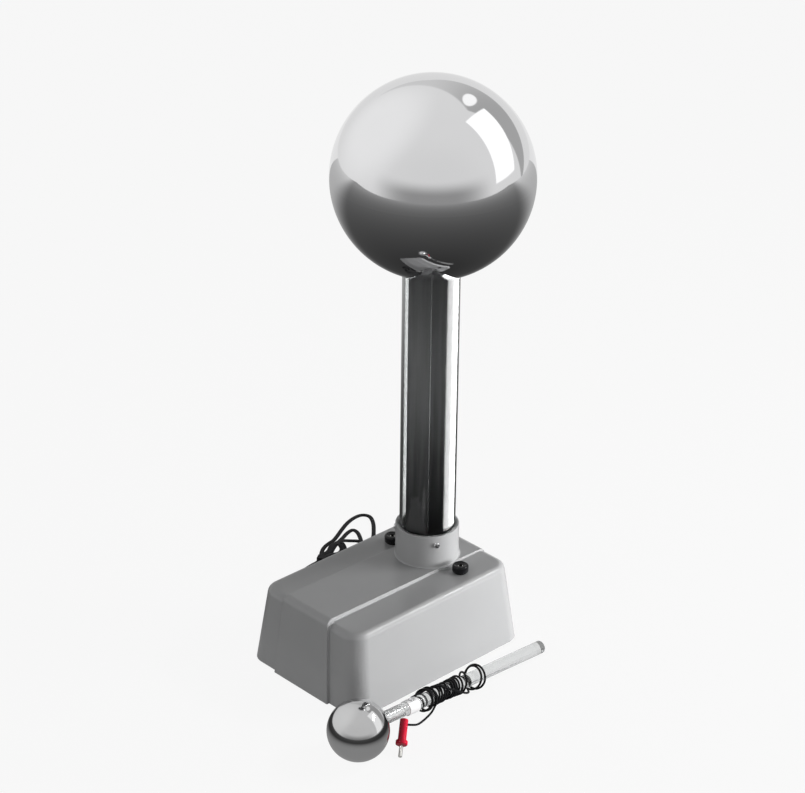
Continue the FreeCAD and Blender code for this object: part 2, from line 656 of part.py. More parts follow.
def drive_belt():
    """Round belt over the two pulleys: an open loop with two straight runs."""
    small, large = MOTOR_PULLEY_RADIUS, DRIVEN_PULLEY_RADIUS
    a, b = V(PULLEY_X, MOTOR_Y, MOTOR_AXIS_Z), V(PULLEY_X, COLUMN_Y, LOWER_AXIS_Z)
    line = b - a
    lean = math.asin((large - small) / line.Length)
    line.normalize()
    up = X_AXIS.cross(line)
    rise = [up * math.cos(lean) * s - line * math.sin(lean) for s in (1, -1)]
    path = Part.Wire(
        [
            Part.Arc(a + rise[0] * small, a - line * small, a + rise[1] * small).toShape(),
            Part.LineSegment(a + rise[1] * small, b + rise[1] * large).toShape(),
            Part.Arc(b + rise[1] * large, b + line * large, b + rise[0] * large).toShape(),
            Part.LineSegment(b + rise[0] * large, a + rise[0] * small).toShape(),
        ]
    )
    start = a + rise[1] * small
    disc = Part.Wire(Part.makeCircle(DRIVE_BELT_RADIUS, start, b + rise[1] * large - start))
    belt = path.makePipeShell([disc], True, True)
    return belt


def charge_belt():
    """Flat rubber belt that runs up the tube, over both rollers."""

    def stadium(radius):
        low, high = V(0, COLUMN_Y, LOWER_AXIS_Z), V(0, COLUMN_Y, UPPER_AXIS_Z)
        side = Y_AXIS * radius
        edges = [
            Part.LineSegment(low - side, high - side).toShape(),
            Part.Arc(high - side, high + Z_AXIS * radius, high + side).toShape(),
            Part.LineSegment(high + side, low + side).toShape(),
            Part.Arc(low + side, low - Z_AXIS * radius, low - side).toShape(),
        ]
        face = Part.Face(Part.Wire(edges))
        face.translate(X_AXIS * -BELT_WIDTH / 2)
        return face.extrude(X_AXIS * BELT_WIDTH)

    return stadium(BELT_OUTER_RADIUS).cut(stadium(BELT_INNER_RADIUS))


def comb_strip(root_y, tip_y, z, half_width):
    """Brass strip with a row of pointed teeth from root_y towards tip_y."""
    side = 1 if tip_y > root_y else -1
    neck_y = tip_y - side * COMB_TOOTH_DEPTH
    pitch = 2 * half_width / COMB_TEETH
    points = [V(-half_width, root_y, z), V(-half_width, neck_y, z)]
    for k in range(COMB_TEETH):
        points.append(V(-half_width + (k + 0.5) * pitch, tip_y, z))
        points.append(V(-half_width + (k + 1) * pitch, neck_y, z))
    points.append(V(half_width, root_y, z))
    return polygon_face(points).extrude(Z_AXIS * COMB_THICKNESS)


comb_bar_back = COLUMN_Y + CHEEK_BACK_REACH - 1
comb_bar_top = LOWER_AXIS_Z + COMB_BAR_HEIGHT / 2


def comb_bar():
    """Insulating bar between the bracket's cheeks that holds the lower comb."""
    return block(
        (-CHEEK_INNER_X, CHEEK_INNER_X),
        (comb_bar_back - COMB_BAR_DEPTH, comb_bar_back),
        (comb_bar_top - COMB_BAR_HEIGHT, comb_bar_top),
    )


def lower_comb():
    height = comb_bar_top - LOWER_AXIS_Z
    belt_y = COLUMN_Y + math.sqrt(BELT_OUTER_RADIUS**2 - height**2)
    return comb_strip(comb_bar_back, belt_y + COMB_GAP, comb_bar_top, BELT_WIDTH / 2)


# Motor

motor_at = V(MOTOR_FACE_X, MOTOR_Y, MOTOR_AXIS_Z)
motor_rear_x = MOTOR_FACE_X - MOTOR_LENGTH


def motor_can():
    """Steel can with a closed face towards the bracket and an open rear."""
    body = cylinder(MOTOR_RADIUS, motor_at, X_AXIS * -1, MOTOR_LENGTH)
    circles = [e for e in body.Edges if isinstance(e.Curve, Part.Circle)]
    edges = [e for e in circles if e.BoundBox.XMin > MOTOR_FACE_X - 1]
    body = body.makeFillet(1.5, edges)
    inside = cylinder(
        MOTOR_RADIUS - MOTOR_WALL, motor_at - X_AXIS * MOTOR_BELL_THICKNESS, X_AXIS * -1, MOTOR_LENGTH
    )
    shaft = cylinder(MOTOR_SHAFT_RADIUS + RUNNING_FIT, motor_at + X_AXIS, X_AXIS * -1, MOTOR_LENGTH)
    return body.cut([inside, shaft] + motor_screw_holes())


def motor_screw_holes():
    return [
        cylinder(BRACKET_SCREW_RADIUS, at - X_AXIS * MOTOR_BELL_THICKNESS, X_AXIS, MOTOR_BELL_THICKNESS * 3)
        for at in motor_screw_places()
    ]


def motor_screw_places():
    return [motor_at + Y_AXIS * side * MOTOR_SCREW_SPREAD for side in (-1, 1)]


def motor_end_bell():
    """Rear cover of the motor with the rear bearing and cooling holes."""
    at = V(motor_rear_x, MOTOR_Y, MOTOR_AXIS_Z)
    body = cylinder(MOTOR_RADIUS - MOTOR_WALL, at, X_AXIS, MOTOR_BELL_THICKNESS)
    holes = [cylinder(MOTOR_SHAFT_RADIUS + RUNNING_FIT, at - X_AXIS, X_AXIS, MOTOR_BELL_THICKNESS + 2)]
    for k in range(6):
        a = math.pi / 3 * k
        place = at + V(-1, math.cos(a), math.sin(a)) * 1 + V(0, math.cos(a), math.sin(a)) * 14
        holes.append(cylinder(2.5, place, X_AXIS, MOTOR_BELL_THICKNESS + 2))
    return body.cut(holes)


motor_middle_x = MOTOR_FACE_X - MOTOR_LENGTH / 2


def motor_stator():
    at = V(motor_middle_x - STATOR_LENGTH / 2, MOTOR_Y, MOTOR_AXIS_Z)
    return ring(MOTOR_RADIUS - MOTOR_WALL, ROTOR_RADIUS + ROTOR_GAP, at, X_AXIS, STATOR_LENGTH)


def motor_rotor():
    at = V(motor_middle_x - ROTOR_LENGTH / 2, MOTOR_Y, MOTOR_AXIS_Z)
    return ring(ROTOR_RADIUS, MOTOR_SHAFT_RADIUS, at, X_AXIS, ROTOR_LENGTH)


def motor_shaft():
    at = V(motor_rear_x, MOTOR_Y, MOTOR_AXIS_Z)
    return cylinder(MOTOR_SHAFT_RADIUS, at, X_AXIS, MOTOR_SHAFT_END_X - motor_rear_x)


def motor_bracket():
    """Angle bracket: the motor's face is screwed to its upright, its foot to the plate."""
    x = MOTOR_FACE_X
    half = MOTOR_BRACKET_WIDTH / 2
    across = (MOTOR_Y - half, MOTOR_Y + half)
    upright = block((x, x + MOTOR_BRACKET_THICKNESS), across, (PLATE_TOP_Z, MOTOR_AXIS_Z + MOTOR_RADIUS))
    foot_end = x + MOTOR_BRACKET_THICKNESS + MOTOR_BRACKET_FOOT
    foot = block((x, foot_end), across, (PLATE_TOP_Z, PLATE_TOP_Z + MOTOR_BRACKET_THICKNESS))
    holes = [cylinder(MOTOR_SHAFT_RADIUS + 3, motor_at - X_AXIS, X_AXIS, MOTOR_BRACKET_THICKNESS + 2)]
    holes += motor_screw_holes()
    motor_feet = bracket_screw_places()[:2]
    holes += [cylinder(BRACKET_SCREW_RADIUS, at, Z_AXIS, PLATE_TOP_Z * 2) for at in motor_feet]
    return upright.fuse(foot).cut(holes).removeSplitter()


def small_screw(at, inward, length):
    return screw(
        BRACKET_SCREW_HEAD_RADIUS, BRACKET_SCREW_HEAD_HEIGHT, BRACKET_SCREW_RADIUS, length, at, inward
    )


def motor_screws():
    face = X_AXIS * MOTOR_BRACKET_THICKNESS
    length = MOTOR_BRACKET_THICKNESS + MOTOR_BELL_THICKNESS
    return Part.makeCompound([small_screw(at + face, X_AXIS * -1, length) for at in motor_screw_places()])


def bracket_screws():
    """Screws through the feet of both brackets into the plate."""
    top = PLATE_TOP_Z + MOTOR_BRACKET_THICKNESS
    length = MOTOR_BRACKET_THICKNESS + PLATE_THICKNESS
    places = bracket_screw_places()
    return Part.makeCompound([small_screw(at + Z_AXIS * top, Z_AXIS * -1, length) for at in places])


# Head of the column


def head_frame():
    """Moulded insert in the tube's top: a spigot, a flange on the tube's end, and two ears."""
    top = column_at + Z_AXIS * TUBE_TOP_Z
    spigot_radius = TUBE_INNER_RADIUS - TUBE_FIT
    body = cylinder(spigot_radius, top - Z_AXIS * HEAD_SPIGOT_DEPTH, Z_AXIS, HEAD_SPIGOT_DEPTH)
    body = body.fuse(cylinder(TUBE_OUTER_RADIUS, top, Z_AXIS, HEAD_FLANGE_THICKNESS))
    inner_x = CHEEK_INNER_X
    for side in (-1, 1):
        x = sorted((side * inner_x, side * (inner_x + HEAD_EAR_THICKNESS)))
        y = (COLUMN_Y - HEAD_EAR_WIDTH / 2, COLUMN_Y + HEAD_EAR_WIDTH / 2)
        ear = block(x, y, (TUBE_TOP_Z, UPPER_AXIS_Z))
        top_at = V(x[0], COLUMN_Y, UPPER_AXIS_Z)
        round_top = cylinder(HEAD_EAR_WIDTH / 2, top_at, X_AXIS, HEAD_EAR_THICKNESS)
        body = body.fuse([ear, round_top])
    bore = cylinder(HEAD_BORE_RADIUS, top - Z_AXIS * 50, Z_AXIS, 50 + HEAD_FLANGE_THICKNESS)
    between = block(
        (-inner_x, inner_x),
        (COLUMN_Y - TUBE_OUTER_RADIUS, COLUMN_Y + TUBE_OUTER_RADIUS),
        (HEAD_TOP_Z, UPPER_AXIS_Z * 2),
    )
    axle_start = V(-TUBE_OUTER_RADIUS, COLUMN_Y, UPPER_AXIS_Z)
    axle = cylinder(UPPER_SHAFT_RADIUS + BUSH_WALL, axle_start, X_AXIS, 2 * TUBE_OUTER_RADIUS)
    return body.cut([bore, between, axle]).removeSplitter()


def upper_comb():
    """Brass comb over the upper roller: a stem on the flange, bent over towards the belt."""
    stem_outer = COLUMN_Y + HEAD_BORE_RADIUS + 2
    stem_inner = stem_outer - COMB_THICKNESS
    neck = COLUMN_Y + UPPER_COMB_NECK
    low, high = UPPER_AXIS_Z + UPPER_COMB_RISE, UPPER_AXIS_Z + UPPER_COMB_RISE + COMB_THICKNESS
    across = (-UPPER_COMB_STEM_WIDTH / 2, UPPER_COMB_STEM_WIDTH / 2)
    stem = block(across, (stem_inner, stem_outer), (HEAD_TOP_Z, high))
    foot = block(across, (stem_inner, stem_outer + 0.5), (HEAD_TOP_Z, HEAD_TOP_Z + COMB_THICKNESS))
    arm = block(across, (neck, stem_outer), (low, high))
    belt_y = COLUMN_Y + math.sqrt(BELT_OUTER_RADIUS**2 - UPPER_COMB_RISE**2)
    strip = comb_strip(neck, belt_y + COMB_GAP, low, UPPER_COMB_WIDTH / 2)
    return stem.fuse([foot, arm, strip]).removeSplitter()


# Dome


def dome_half(upper):
    """One half of the polished dome."""
    at = V(0, COLUMN_Y, DOME_CENTRE_Z)
    shell = Part.makeSphere(DOME_RADIUS, at).cut(Part.makeSphere(DOME_RADIUS - DOME_WALL, at))
    reach = 2 * DOME_RADIUS
    z = (DOME_CENTRE_Z, DOME_CENTRE_Z + reach) if upper else (DOME_CENTRE_Z - reach, DOME_CENTRE_Z)
    half = shell.common(block((-reach, reach), (COLUMN_Y - reach, COLUMN_Y + reach), z))
    if not upper:
        neck = DOME_BORE_RADIUS + DOME_NECK_WALL
        half = half.cut(cylinder(neck, at, Z_AXIS * -1, 2 * DOME_RADIUS))
    return half


def dome_joint_ring():
    """Thin ring inside the equator that joins the two halves."""
    outer = DOME_RADIUS - DOME_WALL
    at = V(0, COLUMN_Y, DOME_CENTRE_Z)
    band = ring(
        outer + 1, outer - DOME_RING_WALL, at - Z_AXIS * DOME_RING_HEIGHT / 2, Z_AXIS, DOME_RING_HEIGHT
    )
    return band.common(Part.makeSphere(outer, at))


def dome_neck():
    """Sleeve in the dome's mouth: it slides over the tube and its lip rests on the head's flange."""
    outer = DOME_BORE_RADIUS + DOME_NECK_WALL
    mouth_z = DOME_CENTRE_Z - math.sqrt(DOME_RADIUS**2 - outer**2)
    lip_inner = TUBE_OUTER_RADIUS - DOME_NECK_LIP
    lip_top = HEAD_TOP_Z + DOME_NECK_WALL
    profile = [
        (DOME_BORE_RADIUS, mouth_z),
        (outer, mouth_z),
        (outer, lip_top),
        (lip_inner, lip_top),
        (lip_inner, HEAD_TOP_Z),
        (DOME_BORE_RADIUS, HEAD_TOP_Z),
    ]
    return revolve(profile, column_at)


# Terminals


def terminal_studs():
    """Brass studs, each with a plug socket down its middle."""
    studs = []
    for at in terminal_at.values():
        top = at + Z_AXIS * (WASHER_THICKNESS + CAP_HEIGHT - CAP_DISH - 0.5)
        stud = cylinder(STUD_RADIUS, top, Z_AXIS * -1, STUD_LENGTH)
        studs.append(stud.cut(cylinder(SOCKET_RADIUS, top, Z_AXIS * -1, SOCKET_DEPTH)))
    return Part.makeCompound(studs)


def terminal_washers():
    """Insulating washers above and below the roof, the upper ones with a spigot in the hole."""
    washers = []
    for at in terminal_at.values():
        upper = cylinder(WASHER_RADIUS, at, Z_AXIS, WASHER_THICKNESS)
        upper = upper.fuse(cylinder(TERMINAL_HOLE_RADIUS, at, Z_AXIS * -1, WALL))
        lower = cylinder(WASHER_RADIUS, at - Z_AXIS * WALL, Z_AXIS * -1, WASHER_THICKNESS)
        hole = cylinder(STUD_RADIUS, at + Z_AXIS * WALL, Z_AXIS * -1, 4 * WALL)
        washers += [upper.cut(hole).removeSplitter(), lower.cut(hole)]
    return Part.makeCompound(washers)


def terminal_nuts():
    nuts = []
    for at in terminal_at.values():
        low = at - Z_AXIS * (WALL + WASHER_THICKNESS + NUT_HEIGHT)
        nut = hexagon(NUT_FLATS, NUT_HEIGHT, low)
        nuts.append(nut.cut(cylinder(STUD_RADIUS, low, Z_AXIS, NUT_HEIGHT)))
    return Part.makeCompound(nuts)


def terminal_cap(side):
    """Black screw cap with a rounded rim, a shallow dish and a mouth for the plug."""
    base = WASHER_THICKNESS + 0.2
    top = WASHER_THICKNESS + CAP_HEIGHT
    bore = STUD_RADIUS + 2 * RUNNING_FIT
    shelf = top - CAP_DISH - 0.3
    round_top = 2.2
    round_low = 0.8
    dish_radius = CAP_RADIUS - round_top
    profile = [
        Part.LineSegment(V(bore, 0, base), V(CAP_RADIUS - round_low, 0, base)).toShape(),
        Part.LineSegment(V(CAP_RADIUS - round_low, 0, base), V(CAP_RADIUS, 0, base + round_low)).toShape(),
        Part.LineSegment(V(CAP_RADIUS, 0, base + round_low), V(CAP_RADIUS, 0, top - round_top)).toShape(),
        Part.Arc(
            V(CAP_RADIUS, 0, top - round_top),
            V(CAP_RADIUS - round_top * 0.293, 0, top - round_top * 0.293),
            V(dish_radius, 0, top),
        ).toShape(),
        Part.Arc(
            V(dish_radius, 0, top),
            V(dish_radius * 0.7, 0, top - CAP_DISH * 0.75),
            V(CAP_MOUTH_RADIUS, 0, top - CAP_DISH),
        ).toShape(),
        Part.LineSegment(V(CAP_MOUTH_RADIUS, 0, top - CAP_DISH), V(CAP_MOUTH_RADIUS, 0, shelf)).toShape(),
        Part.LineSegment(V(CAP_MOUTH_RADIUS, 0, shelf), V(bore, 0, shelf)).toShape(),
        Part.LineSegment(V(bore, 0, shelf), V(bore, 0, base)).toShape(),
    ]
    return revolve(profile, terminal_at[side])


# Rocker switch, drawn in the back wall's local frame


def switch_body():
    """Bezel and box of the switch, with a window for the rocker and two pin holes."""
    bw, bl, bt = SWITCH_BEZEL
    w, l, depth = SWITCH_BODY
    ww, wl, wd = SWITCH_WINDOW
    bezel = Part.makeBox(bl, bw, bt, V(-bl / 2, -bw / 2, 0))
    bezel = bezel.makeFillet(1.0, [e for e in bezel.Edges if e.BoundBox.ZMin > bt - 0.01])
    box = Part.makeBox(l, w, depth, V(-l / 2, -w / 2, -depth))
    window = Part.makeBox(wl, ww, wd + bt, V(-wl / 2, -ww / 2, -wd))
    pins = cylinder(ROCKER_PIN_RADIUS + RUNNING_FIT, V(0, -w, ROCKER_PIVOT), Y_AXIS, 2 * w)
    tabs = [
        block((x - 2.4, x + 2.4), (-0.4, 0.4), (-depth - SWITCH_TAB_LENGTH, -depth))
        for x in (-SWITCH_TAB_X, SWITCH_TAB_X)
    ]
    return placed(bezel.fuse([box] + tabs).cut([window, pins]).removeSplitter(), switch_place)


def switch_rocker():
    """Rocker with two shallow facets and pivot pins, tilted to its off side."""
    across, length = ROCKER_SIZE
    half = length / 2
    outline = [V(-half, 0, -3.5), V(-half, 0, 3.6), V(0, 0, 2.6), V(half, 0, 3.6), V(half, 0, -3.5)]
    body = polygon_face(outline).extrude(Y_AXIS * across)
    body.translate(Y_AXIS * -across / 2)
    pin_length = SWITCH_BODY[0] - 0.4
    body = body.fuse(cylinder(ROCKER_PIN_RADIUS, V(0, -pin_length / 2, ROCKER_PIVOT), Y_AXIS, pin_length))
    body.rotate(V(0, 0, ROCKER_PIVOT), Y_AXIS, ROCKER_TILT)
    return placed(body, switch_place)


# Mains lead


gland_tip = GLAND_FLANGE_THICKNESS + GLAND_TAPER_LENGTH
gland_inner = -GLAND_NECK_LENGTH - GLAND_FLANGE_THICKNESS


def cord_strain_relief():
    """Rubber sleeve: a flange on each side of the wall and a long taper along the lead."""
    neck = GLAND_NECK_LENGTH
    profile = [
        (0, -neck - GLAND_FLANGE_THICKNESS),
        (GLAND_FLANGE_RADIUS, -neck - GLAND_FLANGE_THICKNESS),
        (GLAND_FLANGE_RADIUS, -neck),
        (GLAND_NECK_RADIUS, -neck),
        (GLAND_NECK_RADIUS, 0),
        (GLAND_FLANGE_RADIUS, 0),
        (GLAND_FLANGE_RADIUS, GLAND_FLANGE_THICKNESS),
        (GLAND_FLANGE_RADIUS - 1.5, GLAND_FLANGE_THICKNESS + 1),
        (GLAND_TIP_RADIUS, gland_tip),
        (0, gland_tip),
    ]
    return placed(revolve(profile), gland_place)


hank_at = V(HANK_WAIST_AT[0], HANK_WAIST_AT[1], 0)
hank_along = V(math.cos(math.radians(HANK_HEADING)), math.sin(math.radians(HANK_HEADING)), 0)
hank_aside = V(hank_along.y, -hank_along.x, 0)


def on_hank(along, aside, z):
    """A point by its distance along the hank from the tie and its distance towards the base."""
    return hank_at + hank_along * along + hank_aside * aside + Z_AXIS * z


def mains_cord():
    """Stretch of the lead from the strain relief down to the table and into the hank."""
    points = [
        gland_place.multVec(V(0, 0, gland_tip)),
        gland_place.multVec(V(0, 0, gland_tip + 13)),
        V(-139.0, 90.5, 13.0),
        V(-153.0, 94.0, 4.4),
        V(-166.0, 88.0, 3.0),
        on_hank(9.0, 8.0, 3.4),
    ]
    return bent_tube("mains_cord", points, LEAD_RADIUS)


def mains_cord_hank():
    """Outer shape of the tied hank: two fans of loops and a narrow waist under the tie."""
    big_fan = [(0, -6), (22, -14), (60, -12), (104, -6), (124, 3), (127, 22), (104, 36), (78, 44), (40, 30)]
    small_fan = [(0, 6), (-24, 17), (-54, 20), (-70, 8), (-73, -8), (-58, -19), (-26, -16)]
    half = HANK_WAIST_WIDTH / 2
    fans = []
    for outline in (big_fan + [(0, half)], small_fan + [(0, -half)]):
        face = polygon_face([on_hank(a, s, AIR_GAP) for a, s in outline])
        fans.append(face.extrude(Z_AXIS * HANK_FAN_HEIGHT))
    corners = ((-9, -half), (9, -half), (9, half), (-9, half))
    waist = polygon_face([on_hank(a, s, TIE_THICKNESS) for a, s in corners])
    tie_room = ring_around_waist(TIE_THICKNESS)
    body = fans[0].fuse(fans[1]).cut(tie_room)
    return body.fuse(waist.extrude(Z_AXIS * HANK_WAIST_HEIGHT)).removeSplitter()


def ring_around_waist(thickness):
    """Square ring round the hank's waist."""
    half, top = HANK_WAIST_WIDTH / 2, TIE_THICKNESS + HANK_WAIST_HEIGHT
    reach = TIE_WIDTH / 2

    def prism(grow):
        side = half + grow
        corners = [(-reach, -side), (reach, -side), (reach, side), (-reach, side)]
        return polygon_face([on_hank(a, s, TIE_THICKNESS - grow) for a, s in corners]).extrude(
            Z_AXIS * (top - TIE_THICKNESS + 2 * grow)
        )

    return prism(thickness).cut(prism(0))


def cord_tie():
    return ring_around_waist(TIE_THICKNESS)


def mains_cord_tail():
    """Stretch of the lead from the hank's near end to the plug."""
    px, py = PLUG_AT
    points = [
        V(-141.0, 3.1, 3.0),
        V(-134.4, -6.9, 2.8),
        V(-123.3, -10.9, 2.8),
        V(-112.0, -7.6, 2.8),
        V(px, 2.2, 3.8),
        V(px, py - 12, PLUG_SIZE[2] / 2),
        V(px, py, PLUG_SIZE[2] / 2),
    ]
    return bent_tube("mains_cord_tail", points, LEAD_RADIUS)


def mains_plug_body():
    """Moulded plug that lies on its flat side, narrower towards the lead."""
    w, l, h = PLUG_SIZE
    px, py = PLUG_AT
    neck = w * 0.3
    outline = [V(px - neck, py, 0), V(px + neck, py, 0), V(px + w / 2, py + 14, 0)]
    outline += [V(px + w / 2, py + l, 0), V(px - w / 2, py + l, 0), V(px - w / 2, py + 14, 0)]
    body = polygon_face(outline).extrude(Z_AXIS * h)
    body = body.makeFillet(3.0, [e for e in body.Edges if e.BoundBox.ZLength > 1])
    flat = [e for e in body.Edges if e.BoundBox.ZLength < 0.01 and e.BoundBox.YMin < py + l - 0.5]
    return body.makeFillet(1.5, flat)


def mains_plug_pins():
    px, py = PLUG_AT
    width, length, thickness = PLUG_BLADE
    mid_z = PLUG_SIZE[2] / 2
    blades = []
    for side in (-1, 1):
        x = px + side * PLUG_BLADE_PITCH / 2
        end = py + PLUG_SIZE[1]
        low, high = mid_z - width / 2, mid_z + width / 2
        blade = block((x - thickness / 2, x + thickness / 2), (end, end + length), (low, high))
        far = [e for e in blade.Edges if e.BoundBox.YMin > end + length - 0.01 and e.BoundBox.XLength > 1]
        blades.append(blade.makeChamfer(1.2, far))
    return Part.makeCompound(blades)


# Internal leads, clipped inside the housing


def comb_lead():
    """Earth lead from the lower comb to the right terminal's stud."""
    stud_end = WASHER_THICKNESS + CAP_HEIGHT - CAP_DISH - 0.5 - STUD_LENGTH
    stud = terminal_at["right"] + Z_AXIS * stud_end
    low = comb_bar_top + COMB_THICKNESS
    route = [V(x, comb_bar_back + y, low + z) for x, y, z in COMB_LEAD_ROUTE]
    start = V(route[0].x, route[0].y, low)
    points = [start, *route, stud - Z_AXIS * COMB_LEAD_ROUTE[0][2], stud]
    return bent_tube("comb_lead", points, COMB_LEAD_RADIUS)


tab_z = -SWITCH_BODY[2] - SWITCH_TAB_LENGTH


def motor_lead():
    """Supply lead from the switch to the motor's rear cover."""
    entry = V(motor_rear_x, MOTOR_Y, MOTOR_AXIS_Z - MOTOR_LEAD_DROP)
    points = [
        switch_place.multVec(V(-SWITCH_TAB_X, 0, tab_z)),
        switch_place.multVec(V(-SWITCH_TAB_X, 0, tab_z - MOTOR_LEAD_ENDS[0])),
        *[V(x, y, z) for x, y, z in MOTOR_LEAD_ROUTE],
        entry - X_AXIS * MOTOR_LEAD_ENDS[1],
        entry,
    ]
    return bent_tube("motor_lead", points, INNER_LEAD_RADIUS)


def supply_lead():
    """Supply lead from the strain relief to the switch."""
    points = [
        gland_place.multVec(V(0, 0, gland_inner)),
        gland_place.multVec(V(0, 0, gland_inner - SUPPLY_LEAD_ENDS[0])),
        *[V(x, y, z) for x, y, z in SUPPLY_LEAD_ROUTE],
        switch_place.multVec(V(SWITCH_TAB_X, 0, tab_z - SUPPLY_LEAD_ENDS[1])),
        switch_place.multVec(V(SWITCH_TAB_X, 0, tab_z)),
    ]
    return bent_tube("supply_lead", points, INNER_LEAD_RADIUS)


# Wand, drawn along its own X axis from the ball's centre, then laid on the table

wand_tilt = math.asin(BALL_RADIUS / math.hypot(ROD_END, ROD_RADIUS)) - math.atan2(ROD_RADIUS, ROD_END)
heading = math.radians(WAND_HEADING)
wand_axis = V(
    math.cos(heading) * math.cos(wand_tilt), math.sin(heading) * math.cos(wand_tilt), -math.sin(wand_tilt)
)
wand_place = FreeCAD.Placement(
    V(BALL_AT[0], BALL_AT[1], BALL_RADIUS),
    FreeCAD.Rotation(wand_axis, wand_axis.cross(V(0, 0, -1)) * -1, V(0, 0, 1), "XZY"),
)
rod_start = math.sqrt(BALL_RADIUS**2 - ROD_RADIUS**2)
origin = V(0, 0, 0)


def along_rod(distance):
    return X_AXIS * distance


def wand_ball():
    """Hollow polished ball with a hole for the stud."""
    shell = Part.makeSphere(BALL_RADIUS).cut(Part.makeSphere(BALL_RADIUS - BALL_WALL))
    shell = shell.cut(cylinder(WAND_STUD_RADIUS, along_rod(0), X_AXIS, 2 * BALL_RADIUS))
    return placed(shell, wand_place)


def wand_stud():
    """Metal stud: its head is soldered inside the ball, its shank sits in the rod."""
    start = WAND_STUD_HEAD_START
    head = cylinder(WAND_STUD_HEAD_RADIUS, along_rod(start), X_AXIS, BALL_RADIUS)
    head = head.common(Part.makeSphere(BALL_RADIUS - BALL_WALL))
    shank = cylinder(WAND_STUD_RADIUS, along_rod(start), X_AXIS, WAND_STUD_END - start)
    return placed(head.fuse(shank).removeSplitter(), wand_place)


def wand_rod():
    """Clear rod, bored for the stud, its near end hollowed to sit on the ball."""
    rod = cylinder(ROD_RADIUS, along_rod(rod_start - 2), X_AXIS, ROD_END - rod_start + 2)
    far = [e for e in rod.Edges if e.BoundBox.XMin > ROD_END - 0.01]
    rod = rod.makeChamfer(0.5, far)
    rod = rod.cut(Part.makeSphere(BALL_RADIUS))
    rod = rod.cut(cylinder(WAND_STUD_RADIUS, along_rod(0), X_AXIS, WAND_STUD_END))
    hole = cylinder(FERRULE_SCREW_RADIUS, ferrule_screw_at, Z_AXIS * -1, FERRULE_SCREW_LENGTH)
    return placed(rod.cut(hole), wand_place)


ferrule_screw_at = V(FERRULE_START + FERRULE_LENGTH / 2, 0, ROD_RADIUS + FERRULE_WALL - FERRULE_SCREW_SEAT)


def wand_ferrule():
    """Metal sleeve on the rod to which the lead is fixed."""
    outer = ROD_RADIUS + FERRULE_WALL
    body = ring(outer, ROD_RADIUS, along_rod(FERRULE_START), X_AXIS, FERRULE_LENGTH)
    ends = [e for e in body.Edges if isinstance(e.Curve, Part.Circle) and e.Curve.Radius > outer - 0.01]
    body = body.makeChamfer(0.3, ends)
    hole = cylinder(FERRULE_SCREW_RADIUS, ferrule_screw_at, Z_AXIS * -1, FERRULE_WALL * 2)
    seat = cylinder(FERRULE_SCREW_HEAD_RADIUS, ferrule_screw_at, Z_AXIS, FERRULE_WALL)
    return placed(body.cut([hole, seat]), wand_place)


def wand_ferrule_screw():
    head = (FERRULE_SCREW_HEAD_RADIUS, FERRULE_SCREW_HEAD_HEIGHT)
    body = screw(*head, FERRULE_SCREW_RADIUS, FERRULE_SCREW_LENGTH, ferrule_screw_at, Z_AXIS * -1)
    return placed(body, wand_place)


def wand_lead_winding():
    """Outer shape of the lead's windings round the rod, the last turns apart from the rest."""
    first_end = WINDING_START + WINDING_LENGTH
    neck_end = first_end + WINDING_NECK_LENGTH
    last = neck_end + WINDING_END_LENGTH
    profile = [
        (ROD_RADIUS, WINDING_START),
        (WINDING_RADIUS, WINDING_START),
        (WINDING_RADIUS, first_end),
        (WINDING_NECK_RADIUS, first_end),
        (WINDING_NECK_RADIUS, neck_end),
        (WINDING_END_RADIUS, neck_end),
        (WINDING_END_RADIUS, last),
        (ROD_RADIUS, last),
    ]
    return placed(revolve(profile, origin, X_AXIS), wand_place)


rise = math.radians(BANANA_RISE)
plug_heading = math.radians(BANANA_HEADING)
level = V(math.cos(plug_heading), math.sin(plug_heading), 0)
plug_axis = level * math.cos(rise) + Z_AXIS * math.sin(rise)
plug_tip = V(PLUG_TIP_AT[0], PLUG_TIP_AT[1], BANANA_PIN_RADIUS)
plug_aside = V(0.688, 0.726, 0.0)
plug_aside = plug_aside - plug_axis * plug_aside.dot(plug_axis)
plug_aside.normalize()
lead_entry = plug_tip + plug_axis * (BANANA_LENGTH - 5.6) + plug_aside * (BANANA_BODY_RADIUS - 1.5)


def wand_lead_tail():
    """Short free stretch of the lead from the windings to the side of its plug."""
    points = [
        lead_entry,
        lead_entry + plug_aside * 10.5,
        V(152.5, -92.0, 17.6),
        V(146.5, -80.0, 13.4),
        V(137.0, -68.0, 10.4),
        V(128.5, -58.0, 10.5),
    ]
    return bent_tube("wand_lead_tail", points, WAND_LEAD_RADIUS)


def banana_plug_body():
    """Red plug body with a round collar at its front."""
    length = BANANA_LENGTH - BANANA_PIN_LENGTH
    at = plug_tip + plug_axis * BANANA_PIN_LENGTH
    body = cylinder(BANANA_BODY_RADIUS, at, plug_axis, length)
    collar = cylinder(BANANA_FLANGE_RADIUS, at, plug_axis, BANANA_FLANGE_LENGTH)
    rims = [e for e in collar.Edges if isinstance(e.Curve, Part.Circle)]
    collar = collar.makeFillet(1.2, rims)
    back = [e for e in body.Edges if isinstance(e.Curve, Part.Circle) and (e.Curve.Center - at).Length > 1]
    body = body.makeFillet(1.2, back)
    hole = cylinder(WAND_LEAD_RADIUS, lead_entry, plug_aside, 4)
    return body.fuse(collar).cut(hole).removeSplitter()


def banana_plug_pin():
    pin = cylinder(BANANA_PIN_RADIUS, plug_tip, plug_axis, BANANA_PIN_LENGTH)
    circles = [e for e in pin.Edges if isinstance(e.Curve, Part.Circle)]
    tip = [e for e in circles if (e.Curve.Center - plug_tip).Length < 1]
    return pin.makeFillet(0.9, tip)


